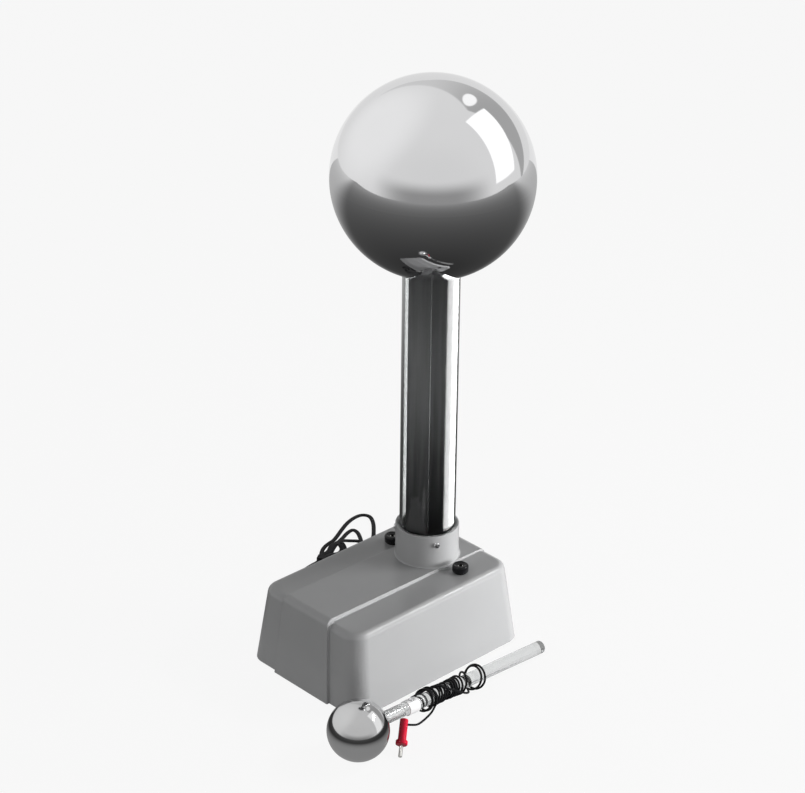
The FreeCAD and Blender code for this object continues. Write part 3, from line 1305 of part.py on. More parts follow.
def upper_shaft():
    reach = CHEEK_INNER_X + HEAD_EAR_THICKNESS
    return cylinder(UPPER_SHAFT_RADIUS, V(-reach, COLUMN_Y, UPPER_AXIS_Z), X_AXIS, 2 * reach)


def lower_shaft():
    start = -CHEEK_INNER_X - CHEEK_THICKNESS - 2
    at = V(start, COLUMN_Y, LOWER_AXIS_Z)
    return cylinder(LOWER_SHAFT_RADIUS, at, X_AXIS, LOWER_SHAFT_END_X - start)


nodes = {
    "base_housing": base_housing(),
    "column_collar": column_collar(),
    "base_plate": base_plate(),
    "rubber_feet": rubber_feet(),
    "base_plate_screws": base_plate_screws(),
    "collar_set_screws": collar_set_screws(),
    "column_tube": column_tube(),
    "roller_bracket": roller_bracket(),
    "lower_bushes": bushes(LOWER_SHAFT_RADIUS, CHEEK_INNER_X, CHEEK_THICKNESS, COLUMN_Y, LOWER_AXIS_Z),
    "lower_roller": roller(LOWER_SHAFT_RADIUS, COLUMN_Y, LOWER_AXIS_Z),
    "lower_shaft": lower_shaft(),
    "driven_pulley": pulley(DRIVEN_PULLEY_RADIUS, LOWER_SHAFT_RADIUS, COLUMN_Y, LOWER_AXIS_Z),
    "drive_belt": drive_belt(),
    "charge_belt": charge_belt(),
    "comb_bar": comb_bar(),
    "lower_comb": lower_comb(),
    "comb_lead": comb_lead(),
    "motor_can": motor_can(),
    "motor_end_bell": motor_end_bell(),
    "motor_stator": motor_stator(),
    "motor_rotor": motor_rotor(),
    "motor_shaft": motor_shaft(),
    "motor_pulley": pulley(MOTOR_PULLEY_RADIUS, MOTOR_SHAFT_RADIUS, MOTOR_Y, MOTOR_AXIS_Z),
    "motor_bracket": motor_bracket(),
    "motor_screws": motor_screws(),
    "bracket_screws": bracket_screws(),
    "motor_lead": motor_lead(),
    "supply_lead": supply_lead(),
    "head_frame": head_frame(),
    "upper_bushes": bushes(UPPER_SHAFT_RADIUS, CHEEK_INNER_X, HEAD_EAR_THICKNESS, COLUMN_Y, UPPER_AXIS_Z),
    "upper_roller": roller(UPPER_SHAFT_RADIUS, COLUMN_Y, UPPER_AXIS_Z),
    "upper_shaft": upper_shaft(),
    "upper_comb": upper_comb(),
    "dome_lower_shell": dome_half(upper=False),
    "dome_upper_shell": dome_half(upper=True),
    "dome_joint_ring": dome_joint_ring(),
    "dome_neck": dome_neck(),
    "terminal_studs": terminal_studs(),
    "terminal_washers": terminal_washers(),
    "terminal_nuts": terminal_nuts(),
    "terminal_cap_right": terminal_cap("right"),
    "terminal_cap_left": terminal_cap("left"),
    "switch_body": switch_body(),
    "switch_rocker": switch_rocker(),
    "cord_strain_relief": cord_strain_relief(),
    "mains_cord": mains_cord(),
    "mains_cord_hank": mains_cord_hank(),
    "cord_tie": cord_tie(),
    "mains_cord_tail": mains_cord_tail(),
    "mains_plug_body": mains_plug_body(),
    "mains_plug_pins": mains_plug_pins(),
    "wand_ball": wand_ball(),
    "wand_stud": wand_stud(),
    "wand_rod": wand_rod(),
    "wand_ferrule": wand_ferrule(),
    "wand_ferrule_screw": wand_ferrule_screw(),
    "wand_lead_winding": wand_lead_winding(),
    "wand_lead_tail": wand_lead_tail(),
    "banana_plug_body": banana_plug_body(),
    "banana_plug_pin": banana_plug_pin(),
}

# The footprint of the dome, base and wand sets the origin: its middle, at table height.
footprint_x = (-DOME_RADIUS, BALL_AT[0] + BALL_RADIUS)
footprint_y = (BALL_AT[1] - BALL_RADIUS, COLUMN_Y + DOME_RADIUS)
origin_shift = V(-sum(footprint_x) / 2, -sum(footprint_y) / 2, 0)

os.makedirs("parts", exist_ok=True)
for name, shape in nodes.items():
    shape.translate(origin_shift)
    shape.exportStep(f"parts/{name}.step")
print(f"{len(nodes)} nodes, shifted by {origin_shift.x:.2f}, {origin_shift.y:.2f}")
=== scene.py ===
"""Classroom Van de Graaff generator with its discharge wand: the finished look of every piece."""

import math

import bpy
from mathutils import Matrix, Vector


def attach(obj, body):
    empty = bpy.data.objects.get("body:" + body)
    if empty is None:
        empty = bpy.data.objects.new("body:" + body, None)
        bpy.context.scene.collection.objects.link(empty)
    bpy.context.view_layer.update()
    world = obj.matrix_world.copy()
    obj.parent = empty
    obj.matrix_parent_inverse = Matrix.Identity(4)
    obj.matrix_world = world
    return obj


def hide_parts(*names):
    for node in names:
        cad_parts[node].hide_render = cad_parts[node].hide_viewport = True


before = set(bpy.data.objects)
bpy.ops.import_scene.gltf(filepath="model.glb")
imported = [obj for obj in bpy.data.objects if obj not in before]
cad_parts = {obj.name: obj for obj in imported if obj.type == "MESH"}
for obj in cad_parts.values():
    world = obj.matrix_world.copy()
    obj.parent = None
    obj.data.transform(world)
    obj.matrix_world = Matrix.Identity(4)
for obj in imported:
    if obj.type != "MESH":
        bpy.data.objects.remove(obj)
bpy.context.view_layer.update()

bpy.ops.object.select_all(action="DESELECT")

# Camera
# A long lens beyond the base's front right corner and above the dome, looking down on the whole machine.
CAMERA_AT = (1.66094, -1.58394, 1.48378)  # in metres
TILT, ROLL, HEADING = 63.1032, -0.5810, 46.5260  # in degrees
sight = [math.radians(turn) for turn in (TILT, ROLL, HEADING)]
bpy.ops.object.camera_add(location=CAMERA_AT, rotation=sight)
camera = bpy.context.object
camera.data.lens = 113.46
camera.data.sensor_width = 36.0
bpy.context.scene.camera = camera


# Mains lead
# A thin flat twin lead in black vinyl. It comes out of a moulded sleeve in the base's left side and is
# folded into a hank of four loose turns, tied at its waist, with the moulded plug on its free end.
class Value:
    """An output in a material's nodes. Sums and products with it add the Math nodes they need."""

    def __init__(self, tree, output=None):
        self.tree, self.output = tree, output

    def node(self, kind, settings=None, sockets=None, output=0):
        """Another node: its settings are made first, then its sockets take values or links."""
        made = self.tree.nodes.new(kind)
        for name, setting in (settings or {}).items():
            setattr(made, name, setting)
        for name, value in (sockets or {}).items():
            if isinstance(value, Value):
                self.tree.links.new(value.output, made.inputs[name])
            else:
                made.inputs[name].default_value = value
        return Value(self.tree, made.outputs[output]) if made.outputs else None

    def maths(self, operation, first, second=0.0):
        return self.node("ShaderNodeMath", {"operation": operation}, {0: first, 1: second})

    def __add__(self, other):
        return self.maths("ADD", self, other)

    def __sub__(self, other):
        return self.maths("SUBTRACT", self, other)

    def __rsub__(self, other):
        return self.maths("SUBTRACT", other, self)

    def __mul__(self, other):
        return self.maths("MULTIPLY", self, other)

    def __truediv__(self, other):
        return self.maths("DIVIDE", self, other)

    __radd__ = __add__


def finish_named(name, **shader):
    """A new material: its shader's plain values, and a Value from which its pattern starts."""
    made = bpy.data.materials.new(name)
    made.use_nodes = True
    sockets = made.node_tree.nodes["Principled BSDF"].inputs
    for socket, value in shader.items():
        socket = socket.replace("_", " ")
        sockets[socket].default_value = (*value, 1.0) if isinstance(value, tuple) else value
    return made, Value(made.node_tree), sockets


def place(start, stretch=(1, 1, 1)):
    """Where a point of the piece is, in metres, stretched along an axis for drawn or turned marks."""
    at = start.node("ShaderNodeTexCoord", output="Object")
    return start.node("ShaderNodeMapping", None, {"Vector": at, "Scale": stretch})


def grain(start, at, scale, detail=2.0):
    """A soft random pattern from 0 to 1."""
    return start.node("ShaderNodeTexNoise", None, {"Vector": at, "Scale": scale, "Detail": detail})


def between(start, share, low, high):
    """The colour part of the way between two."""
    low, high = (end if isinstance(end, Value) else (*end, 1.0) for end in (low, high))
    return start.node("ShaderNodeMix", {"data_type": "RGBA"}, {0: share, 6: low, 7: high}, 2)


def drive(start, sockets, socket, value):
    """Leads a pattern into one of the shader's sockets."""
    start.tree.links.new(value.output, sockets[socket])


def relief(start, sockets, height, depth):
    """Raises the surface by up to a depth in metres."""
    bump = start.node("ShaderNodeBump", None, {"Height": height, "Distance": depth})
    drive(start, sockets, "Normal", bump)


def dress(material, *names):
    """Puts a finish on pieces of the machine, by name."""
    for name in names:
        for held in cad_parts[name].material_slots:
            held.material = material


vinyl, start, sockets = finish_named("black_vinyl", Specular_IOR_Level=0.12)
at = place(start)
scuff = grain(start, at, 260.0, 4.0)
drive(start, sockets, "Base Color", between(start, scuff, (0.004, 0.004, 0.005), (0.010, 0.010, 0.011)))
drive(start, sockets, "Roughness", 0.42 + scuff * 0.16)
relief(start, sockets, grain(start, at, 1600.0), 0.00006)

ROW_X, ROW_Y = -29.25, 15.6  # from the base's middle to the row's origin


def on_table(x, y, z):
    """A place given from the middle of the base, in millimetres."""
    return Vector(((x + ROW_X) / 1000, (y + ROW_Y) / 1000, z / 1000))


WAIST_X, WAIST_Y = -174.0, 64.0  # the hank's waist, from the base's middle
HANK_WAY_X, HANK_WAY_Y = -0.5505, 0.8348  # the way that its long loops reach


def on_hank(along, aside, z):
    """A place given from the hank's waist: along its length, across it, and up."""
    x = WAIST_X + HANK_WAY_X * along + HANK_WAY_Y * aside
    y = WAIST_Y + HANK_WAY_Y * along - HANK_WAY_X * aside
    return on_table(x, y, z)


def route(name, points, smoothness):
    """A smooth line led by points."""
    line = bpy.data.curves.new(name, "CURVE")
    line.dimensions = "3D"
    line.resolution_u = smoothness
    spline = line.splines.new("NURBS")
    spline.points.add(len(points) - 1)
    for spot, point in zip(spline.points, points):
        spot.co = (*point, 1.0)
    spline.order_u = 3
    spline.use_endpoint_u = True
    made = bpy.data.objects.new(name, line)
    bpy.context.scene.collection.objects.link(made)
    return made


def line_of(curve):
    """The points down the middle of a smooth line, and its length."""
    bare = bpy.data.meshes.new_from_object(curve)
    points = [v.co.copy() for v in bare.vertices]
    bpy.data.meshes.remove(bare)
    return points, sum((a - b).length for a, b in zip(points, points[1:]))


LEAD_WIDTH, LEAD_HEIGHT = 0.0050, 0.0025  # across both cores and across one, in metres
GROOVE = 0.72  # the lead's thickness between its two cores, as a share of theirs
sleeve_tip = on_table(-111.57, 88.0, 19.89)
lead_points = [
    sleeve_tip,
    on_table(-124.44, 88.0, 21.69),
    on_table(-139.0, 90.5, 13.0),
    on_table(-153.0, 94.0, 3.6),
    on_table(-166.0, 88.0, 1.9),
    on_hank(10, 6, 2.0),
]
# Long loops of the hank, on the table away from the base, each from the waist's left to its right
long_loops = (
    (
        (15, -6.6, 1.9), (27, -9.0, 1.7), (38, -8.4, 1.7), (46.5, -5.2, 2.0), (54, -1.6, 2.0),
        (66, -0.4, 1.6), (82, 1.1, 1.6), (97, 3.0, 1.6), (111, 7.4, 1.6), (121, 14.5, 1.6),
        (121, 24.5, 1.6), (111.5, 30.6, 1.6), (100, 34.8, 1.6), (87, 38.0, 1.6), (74, 41.0, 1.6),
        (62.5, 40.0, 1.6), (56.5, 33, 2.4), (57, 26, 3.6), (57, 19, 2.6), (55.5, 12.5, 2.8),
        (52, 8.0, 4.4), (44, 5.2, 5.2), (32, 3.8, 5.4), (20, 3.4, 4.4),
    ),
    (
        (17, 0.6, 3.8), (30, 2.2, 3.0), (43, 3.2, 2.4), (53, 4.4, 1.7), (62, 6.8, 1.6), (75, 8.8, 1.6),
        (85, 13.4, 1.6), (80, 20.4, 1.6), (69.5, 25.8, 1.6), (60, 29.8, 1.6), (49, 32.5, 1.6),
        (37, 28.0, 1.8), (25, 19.0, 3.2), (15, 9.5, 5.0),
    ),
    (
        (18, 1.0, 6.2), (30, 2.8, 7.2), (40, 4.8, 7.6), (46, 7.8, 6.8), (44, 12.4, 4.4),
        (38, 16.0, 2.4), (30, 19.0, 1.8), (22, 15.0, 3.6), (15, 8.0, 6.4),
    ),
    (
        (17, 1.8, 8.8), (25, 1.4, 9.2), (33, 2.2, 9.2), (38, 5.2, 8.4), (38.5, 9.8, 6.4),
        (34.5, 13.2, 4.4), (28, 13.6, 3.6), (20.5, 11.0, 4.8), (13.5, 6.6, 8.0),
    ),
)
# Short loops on the side of the base: how far each reaches, its half width, and its height on the sides
short_loops = ((-73.0, 17.0, 1.7), (-67.0, 16.0, 4.1), (-61.0, 16.6, 6.5), (-55.0, 15.4, 8.6))
right_levels, left_levels = (2.0, 3.9, 5.8, 7.7, 9.3), (2.0, 4.3, 6.6, 8.8)
TIED, TIED_SIDE = 8, 2.8  # half the length of the tied waist, and how far the strands lie off its middle
NECK, NECK_SHARE = -18, 0.62  # where a short loop opens, and its width there as a share of its full width
SHOULDER = -32  # where it has its full width
TIP, TIP_LEVEL = 16, 4.2  # the length of its round end, and the height at which the ends lie together
for turn, (reach, half, level) in enumerate(short_loops):
    low, high = left_levels[turn], right_levels[turn]
    rounding = (level + TIP_LEVEL) / 2  # the loops draw together towards their ends
    side_points = [
        (TIED, TIED_SIDE, high), (-TIED, TIED_SIDE, high), (NECK, half * NECK_SHARE, level),
        (SHOULDER, half, level), (reach + TIP, half, level), (reach + 1, half * 0.85, rounding),
        (reach, 4, TIP_LEVEL), (reach, -8, TIP_LEVEL), (reach + 3, -half * 0.9, rounding),
        (reach + TIP, -half, level), (SHOULDER, -half, level), (NECK, -half * NECK_SHARE, level),
        (-TIED, -TIED_SIDE, low), (TIED, -TIED_SIDE, low),
    ]
    lead_points += [on_hank(*point) for point in side_points + list(long_loops[turn])]
# The tail leaves the waist between the loops and turns back to the plug
tail_points = [
    (TIED, TIED_SIDE, right_levels[-1]), (-TIED, 2.6, right_levels[-1]), (-22, 1.0, 5.4),
    (-36, -2.4, 1.8), (-50, -4.8, 1.5), (-62, -5.8, 1.5),
]
lead_points += [on_hank(*point) for point in tail_points]
lead_points += [
    on_table(-141.0, 3.1, 1.6),
    on_table(-134.4, -6.9, 1.6),
    on_table(-123.3, -10.9, 1.6),
    on_table(-112.0, -7.6, 1.6),
    on_table(-105.0, 2.2, 2.8),
    on_table(-105.0, 14.0, 7.5),
    on_table(-105.0, 26.0, 7.5),
]
lead_route = route("lead_route", lead_points, 6)
lead_route.data.twist_mode = "Z_UP"
lead_path, mains_long = line_of(lead_route)

# Two round cores side by side under one skin
core = LEAD_HEIGHT / 2
spread = LEAD_WIDTH / 2 - core
section = bpy.data.curves.new("lead_section", "CURVE")
section.resolution_u = 1
ring = section.splines.new("POLY")
angles = [math.radians(a) for a in (-30, 0, 30, 60, 90)]
half_ring = [(spread + core * math.cos(a), core * math.sin(a)) for a in angles]
section_points = [(spread, -core), *half_ring, (0.0, core * GROOVE)]
section_points += [(-x, y) for x, y in reversed(half_ring)]
section_points += [(-spread, -core), (0.0, -core * GROOVE)]
ring.points.add(len(section_points) - 1)
for spot, (across, up) in zip(ring.points, section_points):
    spot.co = (across, up, 0.0, 1.0)
ring.use_cyclic_u = True
lead_section = bpy.data.objects.new("lead_section", section)
bpy.context.scene.collection.objects.link(lead_section)
lead_route.data.bevel_mode = "OBJECT"
lead_route.data.bevel_object = lead_section
lead_route.data.use_fill_caps = True
bpy.context.view_layer.objects.active = lead_route
lead_route.select_set(True)
bpy.ops.object.convert(target="MESH")
mains_lead = bpy.context.object
mains_lead.name = "mains_lead"
mains_lead.select_set(False)
bpy.data.objects.remove(lead_section)
mains_lead.data.materials.clear()
mains_lead.data.materials.append(vinyl)
for face in mains_lead.data.polygons:
    face.use_smooth = True
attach(mains_lead, "base")
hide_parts("mains_cord", "mains_cord_hank", "mains_cord_tail")
dress(vinyl, "cord_strain_relief", "cord_tie", "mains_plug_body", "comb_lead", "motor_lead", "supply_lead")


# Wand lead
# A thin black lead clamped under the wand's ferrule, wound loosely round the rod and back over itself,
# with a short end that runs to the side of a red plug.
ball_middle = on_table(131.0, -162.2, 32.0)
wand_along = Vector((-0.037190, 0.995225, -0.090195)).normalized()
wand_up = Vector((0, 0, 1)) - wand_along * wand_along.z
wand_up.normalize()
wand_aside = wand_along.cross(wand_up)


def round_rod(along, angle, radius):
    """A place round the rod: from the ball's middle in millimetres, and by the angle from its top."""
    turn = math.radians(angle)
    out = wand_up * math.cos(turn) + wand_aside * math.sin(turn)
    return ball_middle + (wand_along * along + out * radius) / 1000


WAND_LEAD = 0.0023  # in metres
# A strand runs from the ferrule along the rod and over the turns: along the rod, round it, and out
winding = [
    (83.8, -64, 8.2), (87, -57, 8.3), (92, -48, 8.4), (98, -36, 8.7), (104, -22, 9.3),
    (108.5, -9, 11.0), (113, 6, 11.8), (118, 32, 11.9), (123, 50, 11.9), (130, 70, 11.9),
    (138, 90, 12.1), (146, 111, 12.4), (154, 134, 12.3), (161, 160, 12.2),
]
# Then the turns come back along the rod, loose and leaning: turns so far, along, out, and lean
turns = (
    (0.0, 167.0, 12.2, 2.0), (0.35, 173.0, 13.0, 3.0), (0.75, 174.9, 13.0, 3.0),
    (1.3, 171.5, 12.6, 3.0), (1.75, 169.7, 11.8, 3.0), (2.1, 165.5, 11.4, 2.5),
    (2.45, 154.0, 10.6, 2.5), (2.75, 147.2, 10.0, 2.2), (3.75, 143.1, 9.7, 2.2),
    (4.75, 138.6, 9.4, 2.4), (5.75, 135.6, 9.0, 2.4), (6.75, 132.6, 9.3, 2.6), (7.75, 129.4, 9.0, 2.4),
    (8.3, 124.5, 9.0, 2.6), (8.75, 119.6, 9.2, 2.8), (9.75, 116.8, 9.0, 2.8), (10.75, 112.2, 9.3, 3.0),
    (11.75, 108.8, 9.0, 3.0), (12.3, 101.0, 9.8, 3.2), (12.75, 95.8, 10.8, 3.4),
    (13.2, 93.5, 11.3, 3.4), (13.75, 97.0, 11.5, 3.0), (14.3, 100.8, 11.5, 2.6),
    (14.75, 102.8, 11.5, 2.2), (14.9, 103.6, 11.4, 2.0),
)
ROUND_FROM = 185.0  # where the first turn starts, round from the top
STEPS = 12  # points laid in each turn
for step in range(1, int(turns[-1][0] * STEPS) + 1):
    done = step / STEPS
    before, after = next((a, b) for a, b in zip(turns, turns[1:]) if done <= b[0])
    share = (done - before[0]) / (after[0] - before[0])
    along, out, lean = (a + (b - a) * share for a, b in zip(before[1:], after[1:]))
    round_at = ROUND_FROM + 360 * done
    winding.append((along + lean * math.cos(math.radians(round_at)), round_at, out))
wand_lead_points = [round_rod(*place_on) for place_on in winding]
wand_lead_points += [
    on_table(138.2, -66.0, 13.0),
    on_table(139.8, -76.0, 11.0),
    on_table(143.6, -86.0, 13.0),
    on_table(148.6, -95.5, 17.2),
    on_table(151.2, -103.4, 21.2),
    on_table(145.9, -109.5, 21.9),
]
wand_lead = route("wand_lead", wand_lead_points, 5)
wand_long = line_of(wand_lead)[1]
wand_lead.data.bevel_depth = WAND_LEAD / 2
wand_lead.data.bevel_resolution = 3
wand_lead.data.use_fill_caps = True
wand_lead.data.materials.append(vinyl)
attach(wand_lead, "wand")
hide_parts("wand_lead_winding", "wand_lead_tail")


# Dome
# Two spun halves of thin stainless steel, polished to a mirror, joined at the middle by an inner ring.
# A sleeve in the mouth slides over the top of the column.
def outline_arc(radius, start, end, steps):
    """Points of a round outline, as radius and height, from one elevation to another."""
    rises = [math.radians(start + (end - start) * n / steps) for n in range(steps + 1)]
    return [(radius * max(0.0, math.cos(r)), radius * math.sin(r)) for r in rises]


TURNED_EDGE = math.radians(35.0)  # a sharper corner than this stays an edge


def turned(name, outline, foot, along, steps=128):
    """A turned piece: an outline in millimetres, as radius and height, spun round its axis."""
    skin = bpy.data.meshes.new(name)
    spots = [(radius / 1000, 0.0, height / 1000) for radius, height in outline]
    skin.from_pydata(spots, [(n, (n + 1) % len(spots)) for n in range(len(spots))], [])
    piece = bpy.data.objects.new(name, skin)
    bpy.context.scene.collection.objects.link(piece)
    bpy.context.view_layer.objects.active = piece
    piece.select_set(True)
    bpy.ops.object.mode_set(mode="EDIT")
    bpy.ops.mesh.select_all(action="SELECT")
    bpy.ops.mesh.spin(steps=steps, angle=2 * math.pi, center=(0, 0, 0), axis=(0, 0, 1))
    bpy.ops.mesh.select_all(action="SELECT")
    bpy.ops.mesh.remove_doubles(threshold=0.000002)
    bpy.ops.mesh.normals_make_consistent(inside=False)
    bpy.ops.object.mode_set(mode="OBJECT")
    bpy.ops.object.shade_smooth_by_angle(angle=TURNED_EDGE)
    skin.transform(Vector(along).to_track_quat("Z", "Y").to_matrix().to_4x4())
    skin.transform(Matrix.Translation(foot))
    piece.select_set(False)
    return piece


def settle(piece, body, slot, material, *nodes):
    """Puts a piece on what carries it, in place of the machine parts that it stands for."""
    piece.data.materials.clear()
    piece.data.materials.append(material)
    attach(piece, body)
    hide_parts(*nodes)


polished, start, sockets = finish_named("polished_steel", Metallic=1.0)
at = place(start)
haze = grain(start, at, 9.0, 3.0)
drive(start, sockets, "Base Color", between(start, haze, (0.80, 0.80, 0.81), (0.86, 0.86, 0.865)))
drive(start, sockets, "Roughness", 0.035 + grain(start, place(start, (1, 1, 14)), 60.0, 4.0) * 0.03)

DOME, DOME_WALL, DOME_RISE = 104.5, 1.2, 530.0
COLUMN_BACK = 58.5  # how far the column stands behind the base's middle
column_at = on_table(0, COLUMN_BACK, 0)
dome_at = on_table(0, COLUMN_BACK, DOME_RISE)
SLEEVE, SLEEVE_WALL, SLEEVE_TOP = 30.4, 1.4, 484.4
LIP, LIP_UNDER = 28.0, 483.0  # its lip, turned in over the end of the column
inside = DOME - DOME_WALL
upper_outline = outline_arc(DOME, 0, 90, 72) + outline_arc(inside, 90, 0, 72)
dome_upper = turned("dome_upper", upper_outline, dome_at, (0, 0, 1))
settle(dome_upper, "dome", "dome_steel", polished, "dome_upper_shell")
mouth = SLEEVE + SLEEVE_WALL
low_out = -math.degrees(math.acos(mouth / DOME))
low_in = -math.degrees(math.acos(mouth / inside))
lower_outline = outline_arc(DOME, 0, low_out, 60) + outline_arc(inside, low_in, 0, 60)
dome_lower = turned("dome_lower", lower_outline, dome_at, (0, 0, 1))
settle(dome_lower, "dome", "dome_steel", polished, "dome_lower_shell")
mouth_z = DOME_RISE - math.sqrt(DOME**2 - mouth**2)
EDGE = 0.3  # the small round on turned and sawn edges
FOOT_OUT, FOOT_IN = 0.1, 0.4  # how far up the sleeve's foot is cut away, outside and inside
sleeve_outline = [(SLEEVE + EDGE, mouth_z), (mouth, mouth_z + FOOT_OUT), (mouth, SLEEVE_TOP - EDGE)]
sleeve_outline += [(mouth - EDGE, SLEEVE_TOP), (LIP, SLEEVE_TOP), (LIP, LIP_UNDER), (SLEEVE, LIP_UNDER)]
sleeve_outline += [(SLEEVE, mouth_z + FOOT_IN)]
dome_sleeve = turned("dome_sleeve", sleeve_outline, column_at, (0, 0, 1))
settle(dome_sleeve, "dome", "dome_steel", polished, "dome_neck")
dress(polished, "dome_joint_ring")


# Column
# A clear extruded acrylic tube with sawn and polished ends. Its foot stands in the collar, and its top
# carries the head and the dome.
ACRYLIC_BENDS = 1.49  # how strongly acrylic bends light
acrylic, start, sockets = finish_named(
    "clear_acrylic", IOR=ACRYLIC_BENDS, Transmission_Weight=1.0, Base_Color=(0.90, 0.912, 0.91)
)
wipe = grain(start, place(start, (1, 1, 0.05)), 90.0, 5.0)
drive(start, sockets, "Roughness", 0.004 + wipe * 0.025)

TUBE, TUBE_BORE, TUBE_FOOT, TUBE_TOP = 30.0, 27.0, 82.0, 480.0
tube_outline = [(TUBE_BORE, TUBE_FOOT + EDGE), (TUBE_BORE + EDGE, TUBE_FOOT), (TUBE - EDGE, TUBE_FOOT)]
tube_outline += [(TUBE, TUBE_FOOT + EDGE), (TUBE, TUBE_TOP - EDGE), (TUBE - EDGE, TUBE_TOP)]
tube_outline += [(TUBE_BORE + EDGE, TUBE_TOP), (TUBE_BORE, TUBE_TOP - EDGE)]
column = turned("column", tube_outline, column_at, (0, 0, 1))
settle(column, "base", "clear_acrylic", acrylic, "column_tube")


# Charge belt
# A flat band of dark rubberised cloth round both rollers, with a fine cross weave, a dusty grain, and
# painted light and shade up its length.
def fade(start, value, low, high, first=0.0, last=1.0, kind="SMOOTHSTEP"):
    """Goes from the first share to the last one as the value goes from low to high."""
    values = {"Value": value, "From Min": low, "From Max": high, "To Min": first, "To Max": last}
    return start.node("ShaderNodeMapRange", {"interpolation_type": kind}, values)


rubber_band, start, sockets = finish_named("band_rubber", Specular_IOR_Level=0.4)
at = place(start)
dust = grain(start, place(start, (1, 1, 0.06)), 120.0, 5.0)
weave = start.node(
    "ShaderNodeTexWave",
    {"wave_type": "BANDS", "bands_direction": "Z"},
    {"Vector": at, "Scale": 320.0, "Distortion": 0.6, "Detail": 1.0},
    1,
)
# Painted light and shade: the belt is dark low down, painted lighter from a little below its middle, and
# painted darker again towards the head, down to halfway. The dust's grain breaks up the lower edge of the
# painted light
height = start.node("ShaderNodeSeparateXYZ", None, {0: at}, 2)
painted_light_share = fade(start, height + dust * 0.09, 0.19, 0.34) * fade(start, height, 0.32, 0.44, 1.0, 0.5)
# The dark tone is the belt in painted shade, and the light tone is the belt in painted light
belt_in_painted_shade = between(start, dust, (0.014, 0.014, 0.015), (0.060, 0.060, 0.062))
belt_in_painted_light = between(start, dust, (0.150, 0.150, 0.153), (0.340, 0.340, 0.344))
drive(start, sockets, "Base Color", between(start, painted_light_share, belt_in_painted_shade, belt_in_painted_light))
drive(start, sockets, "Roughness", 0.5 + dust * 0.25)
relief(start, sockets, weave, 0.00006)
dress(rubber_band, "charge_belt")


# Base housing
# One injection moulding in silver-grey satin plastic: drafted walls, rounded top edges and corners, and a
# raised band down its middle that carries the column.
MOULDED_EDGE = math.radians(30.0)  # a sharper corner than this stays an edge


def smoothed(node, name, body, slot, material):
    """A copy of a machine part with its corners joined, so that its round faces are shaded round."""
    piece = bpy.data.objects.new(name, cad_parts[node].data.copy())
    bpy.context.scene.collection.objects.link(piece)
    bpy.context.view_layer.objects.active = piece
    piece.select_set(True)
    bpy.ops.object.mode_set(mode="EDIT")
    bpy.ops.mesh.select_all(action="SELECT")
    bpy.ops.mesh.remove_doubles(threshold=0.000005)
    bpy.ops.object.mode_set(mode="OBJECT")
    bpy.ops.object.shade_smooth_by_angle(angle=MOULDED_EDGE)
    even = piece.modifiers.new("even", "WEIGHTED_NORMAL")
    even.keep_sharp = True
    even.weight = 100
    bpy.ops.object.modifier_apply(modifier=even.name)
    piece.select_set(False)
    settle(piece, body, slot, material, node)
    return piece


silver, start, sockets = finish_named(
    "silver_plastic", Specular_IOR_Level=0.12, Metallic=0.06, Coat_Weight=0.35, Coat_Roughness=0.18
)
at = place(start)
flow = grain(start, at, 14.0, 3.0)
fleck = grain(start, at, 2600.0, 1.0)
tone = between(start, flow, (0.305, 0.307, 0.310), (0.340, 0.342, 0.345))
drive(start, sockets, "Base Color", tone)
drive(start, sockets, "Roughness", 0.25 + fleck * 0.06 + flow * 0.04)
relief(start, sockets, grain(start, at, 900.0, 2.0), 0.00003)
smoothed("base_housing", "housing", "base", "housing_plastic", silver)


# Collar
# A round socket on the roof, moulded in the same plastic and glued in. Three screws in it grip the foot of
# the column.
smoothed("column_collar", "collar", "base", "housing_plastic", silver)


# Bottom plate and metal fittings
# Zinc-plated sheet steel, pressed and folded, with a fine spangle. Bright steel screws hold the bottom in
# the housing and the brackets on the bottom, and the shafts are of the same steel.
zinc, start, sockets = finish_named("zinc_sheet", Metallic=1.0)
at = place(start)
spangle = start.node("ShaderNodeTexVoronoi", None, {"Vector": at, "Scale": 160.0}, 0)
smear = grain(start, at, 35.0, 4.0)
patches = spangle * 0.5 + smear * 0.5
drive(start, sockets, "Base Color", between(start, patches, (0.50, 0.51, 0.53), (0.66, 0.67, 0.68)))
drive(start, sockets, "Roughness", 0.26 + smear * 0.2)
dress(zinc, "base_plate", "roller_bracket", "motor_bracket")

screw_steel, start, sockets = finish_named("bright_screws", Metallic=1.0)
wear = grain(start, place(start), 700.0, 3.0)
drive(start, sockets, "Base Color", between(start, wear, (0.66, 0.66, 0.67), (0.82, 0.82, 0.83)))
drive(start, sockets, "Roughness", 0.12 + wear * 0.14)
dress(screw_steel, "base_plate_screws", "bracket_screws", "motor_screws")
dress(screw_steel, "lower_shaft", "upper_shaft", "motor_shaft")
smoothed("collar_set_screws", "set_screws", "base", "screw_steel", screw_steel)


# Feet and drive belt
# Soft black rubber pads, held by their stems in the bottom plate, and a round rubber belt over the two
# pulleys: matt, with a faint grey bloom.
foot_rubber, start, sockets = finish_named("soft_rubber", Specular_IOR_Level=0.3)
bloom = grain(start, place(start), 220.0, 4.0)
drive(start, sockets, "Base Color", between(start, bloom, (0.014, 0.014, 0.015), (0.036, 0.036, 0.038)))
drive(start, sockets, "Roughness", 0.68 + bloom * 0.2)
dress(foot_rubber, "rubber_feet", "drive_belt")


# Rollers, pulleys and head
# Turned and moulded nylon: off-white rollers and pulleys on the shafts, and in a darker grey the head in
# the column's end and the bar for the combs.
nylon, start, sockets = finish_named("white_nylon", Subsurface_Weight=0.15)
turning = grain(start, place(start, (18, 1, 1)), 90.0, 3.0)
drive(start, sockets, "Base Color", between(start, turning, (0.66, 0.65, 0.61), (0.78, 0.77, 0.74)))
drive(start, sockets, "Roughness", 0.34 + turning * 0.14)
dress(nylon, "lower_roller", "upper_roller", "driven_pulley", "motor_pulley")

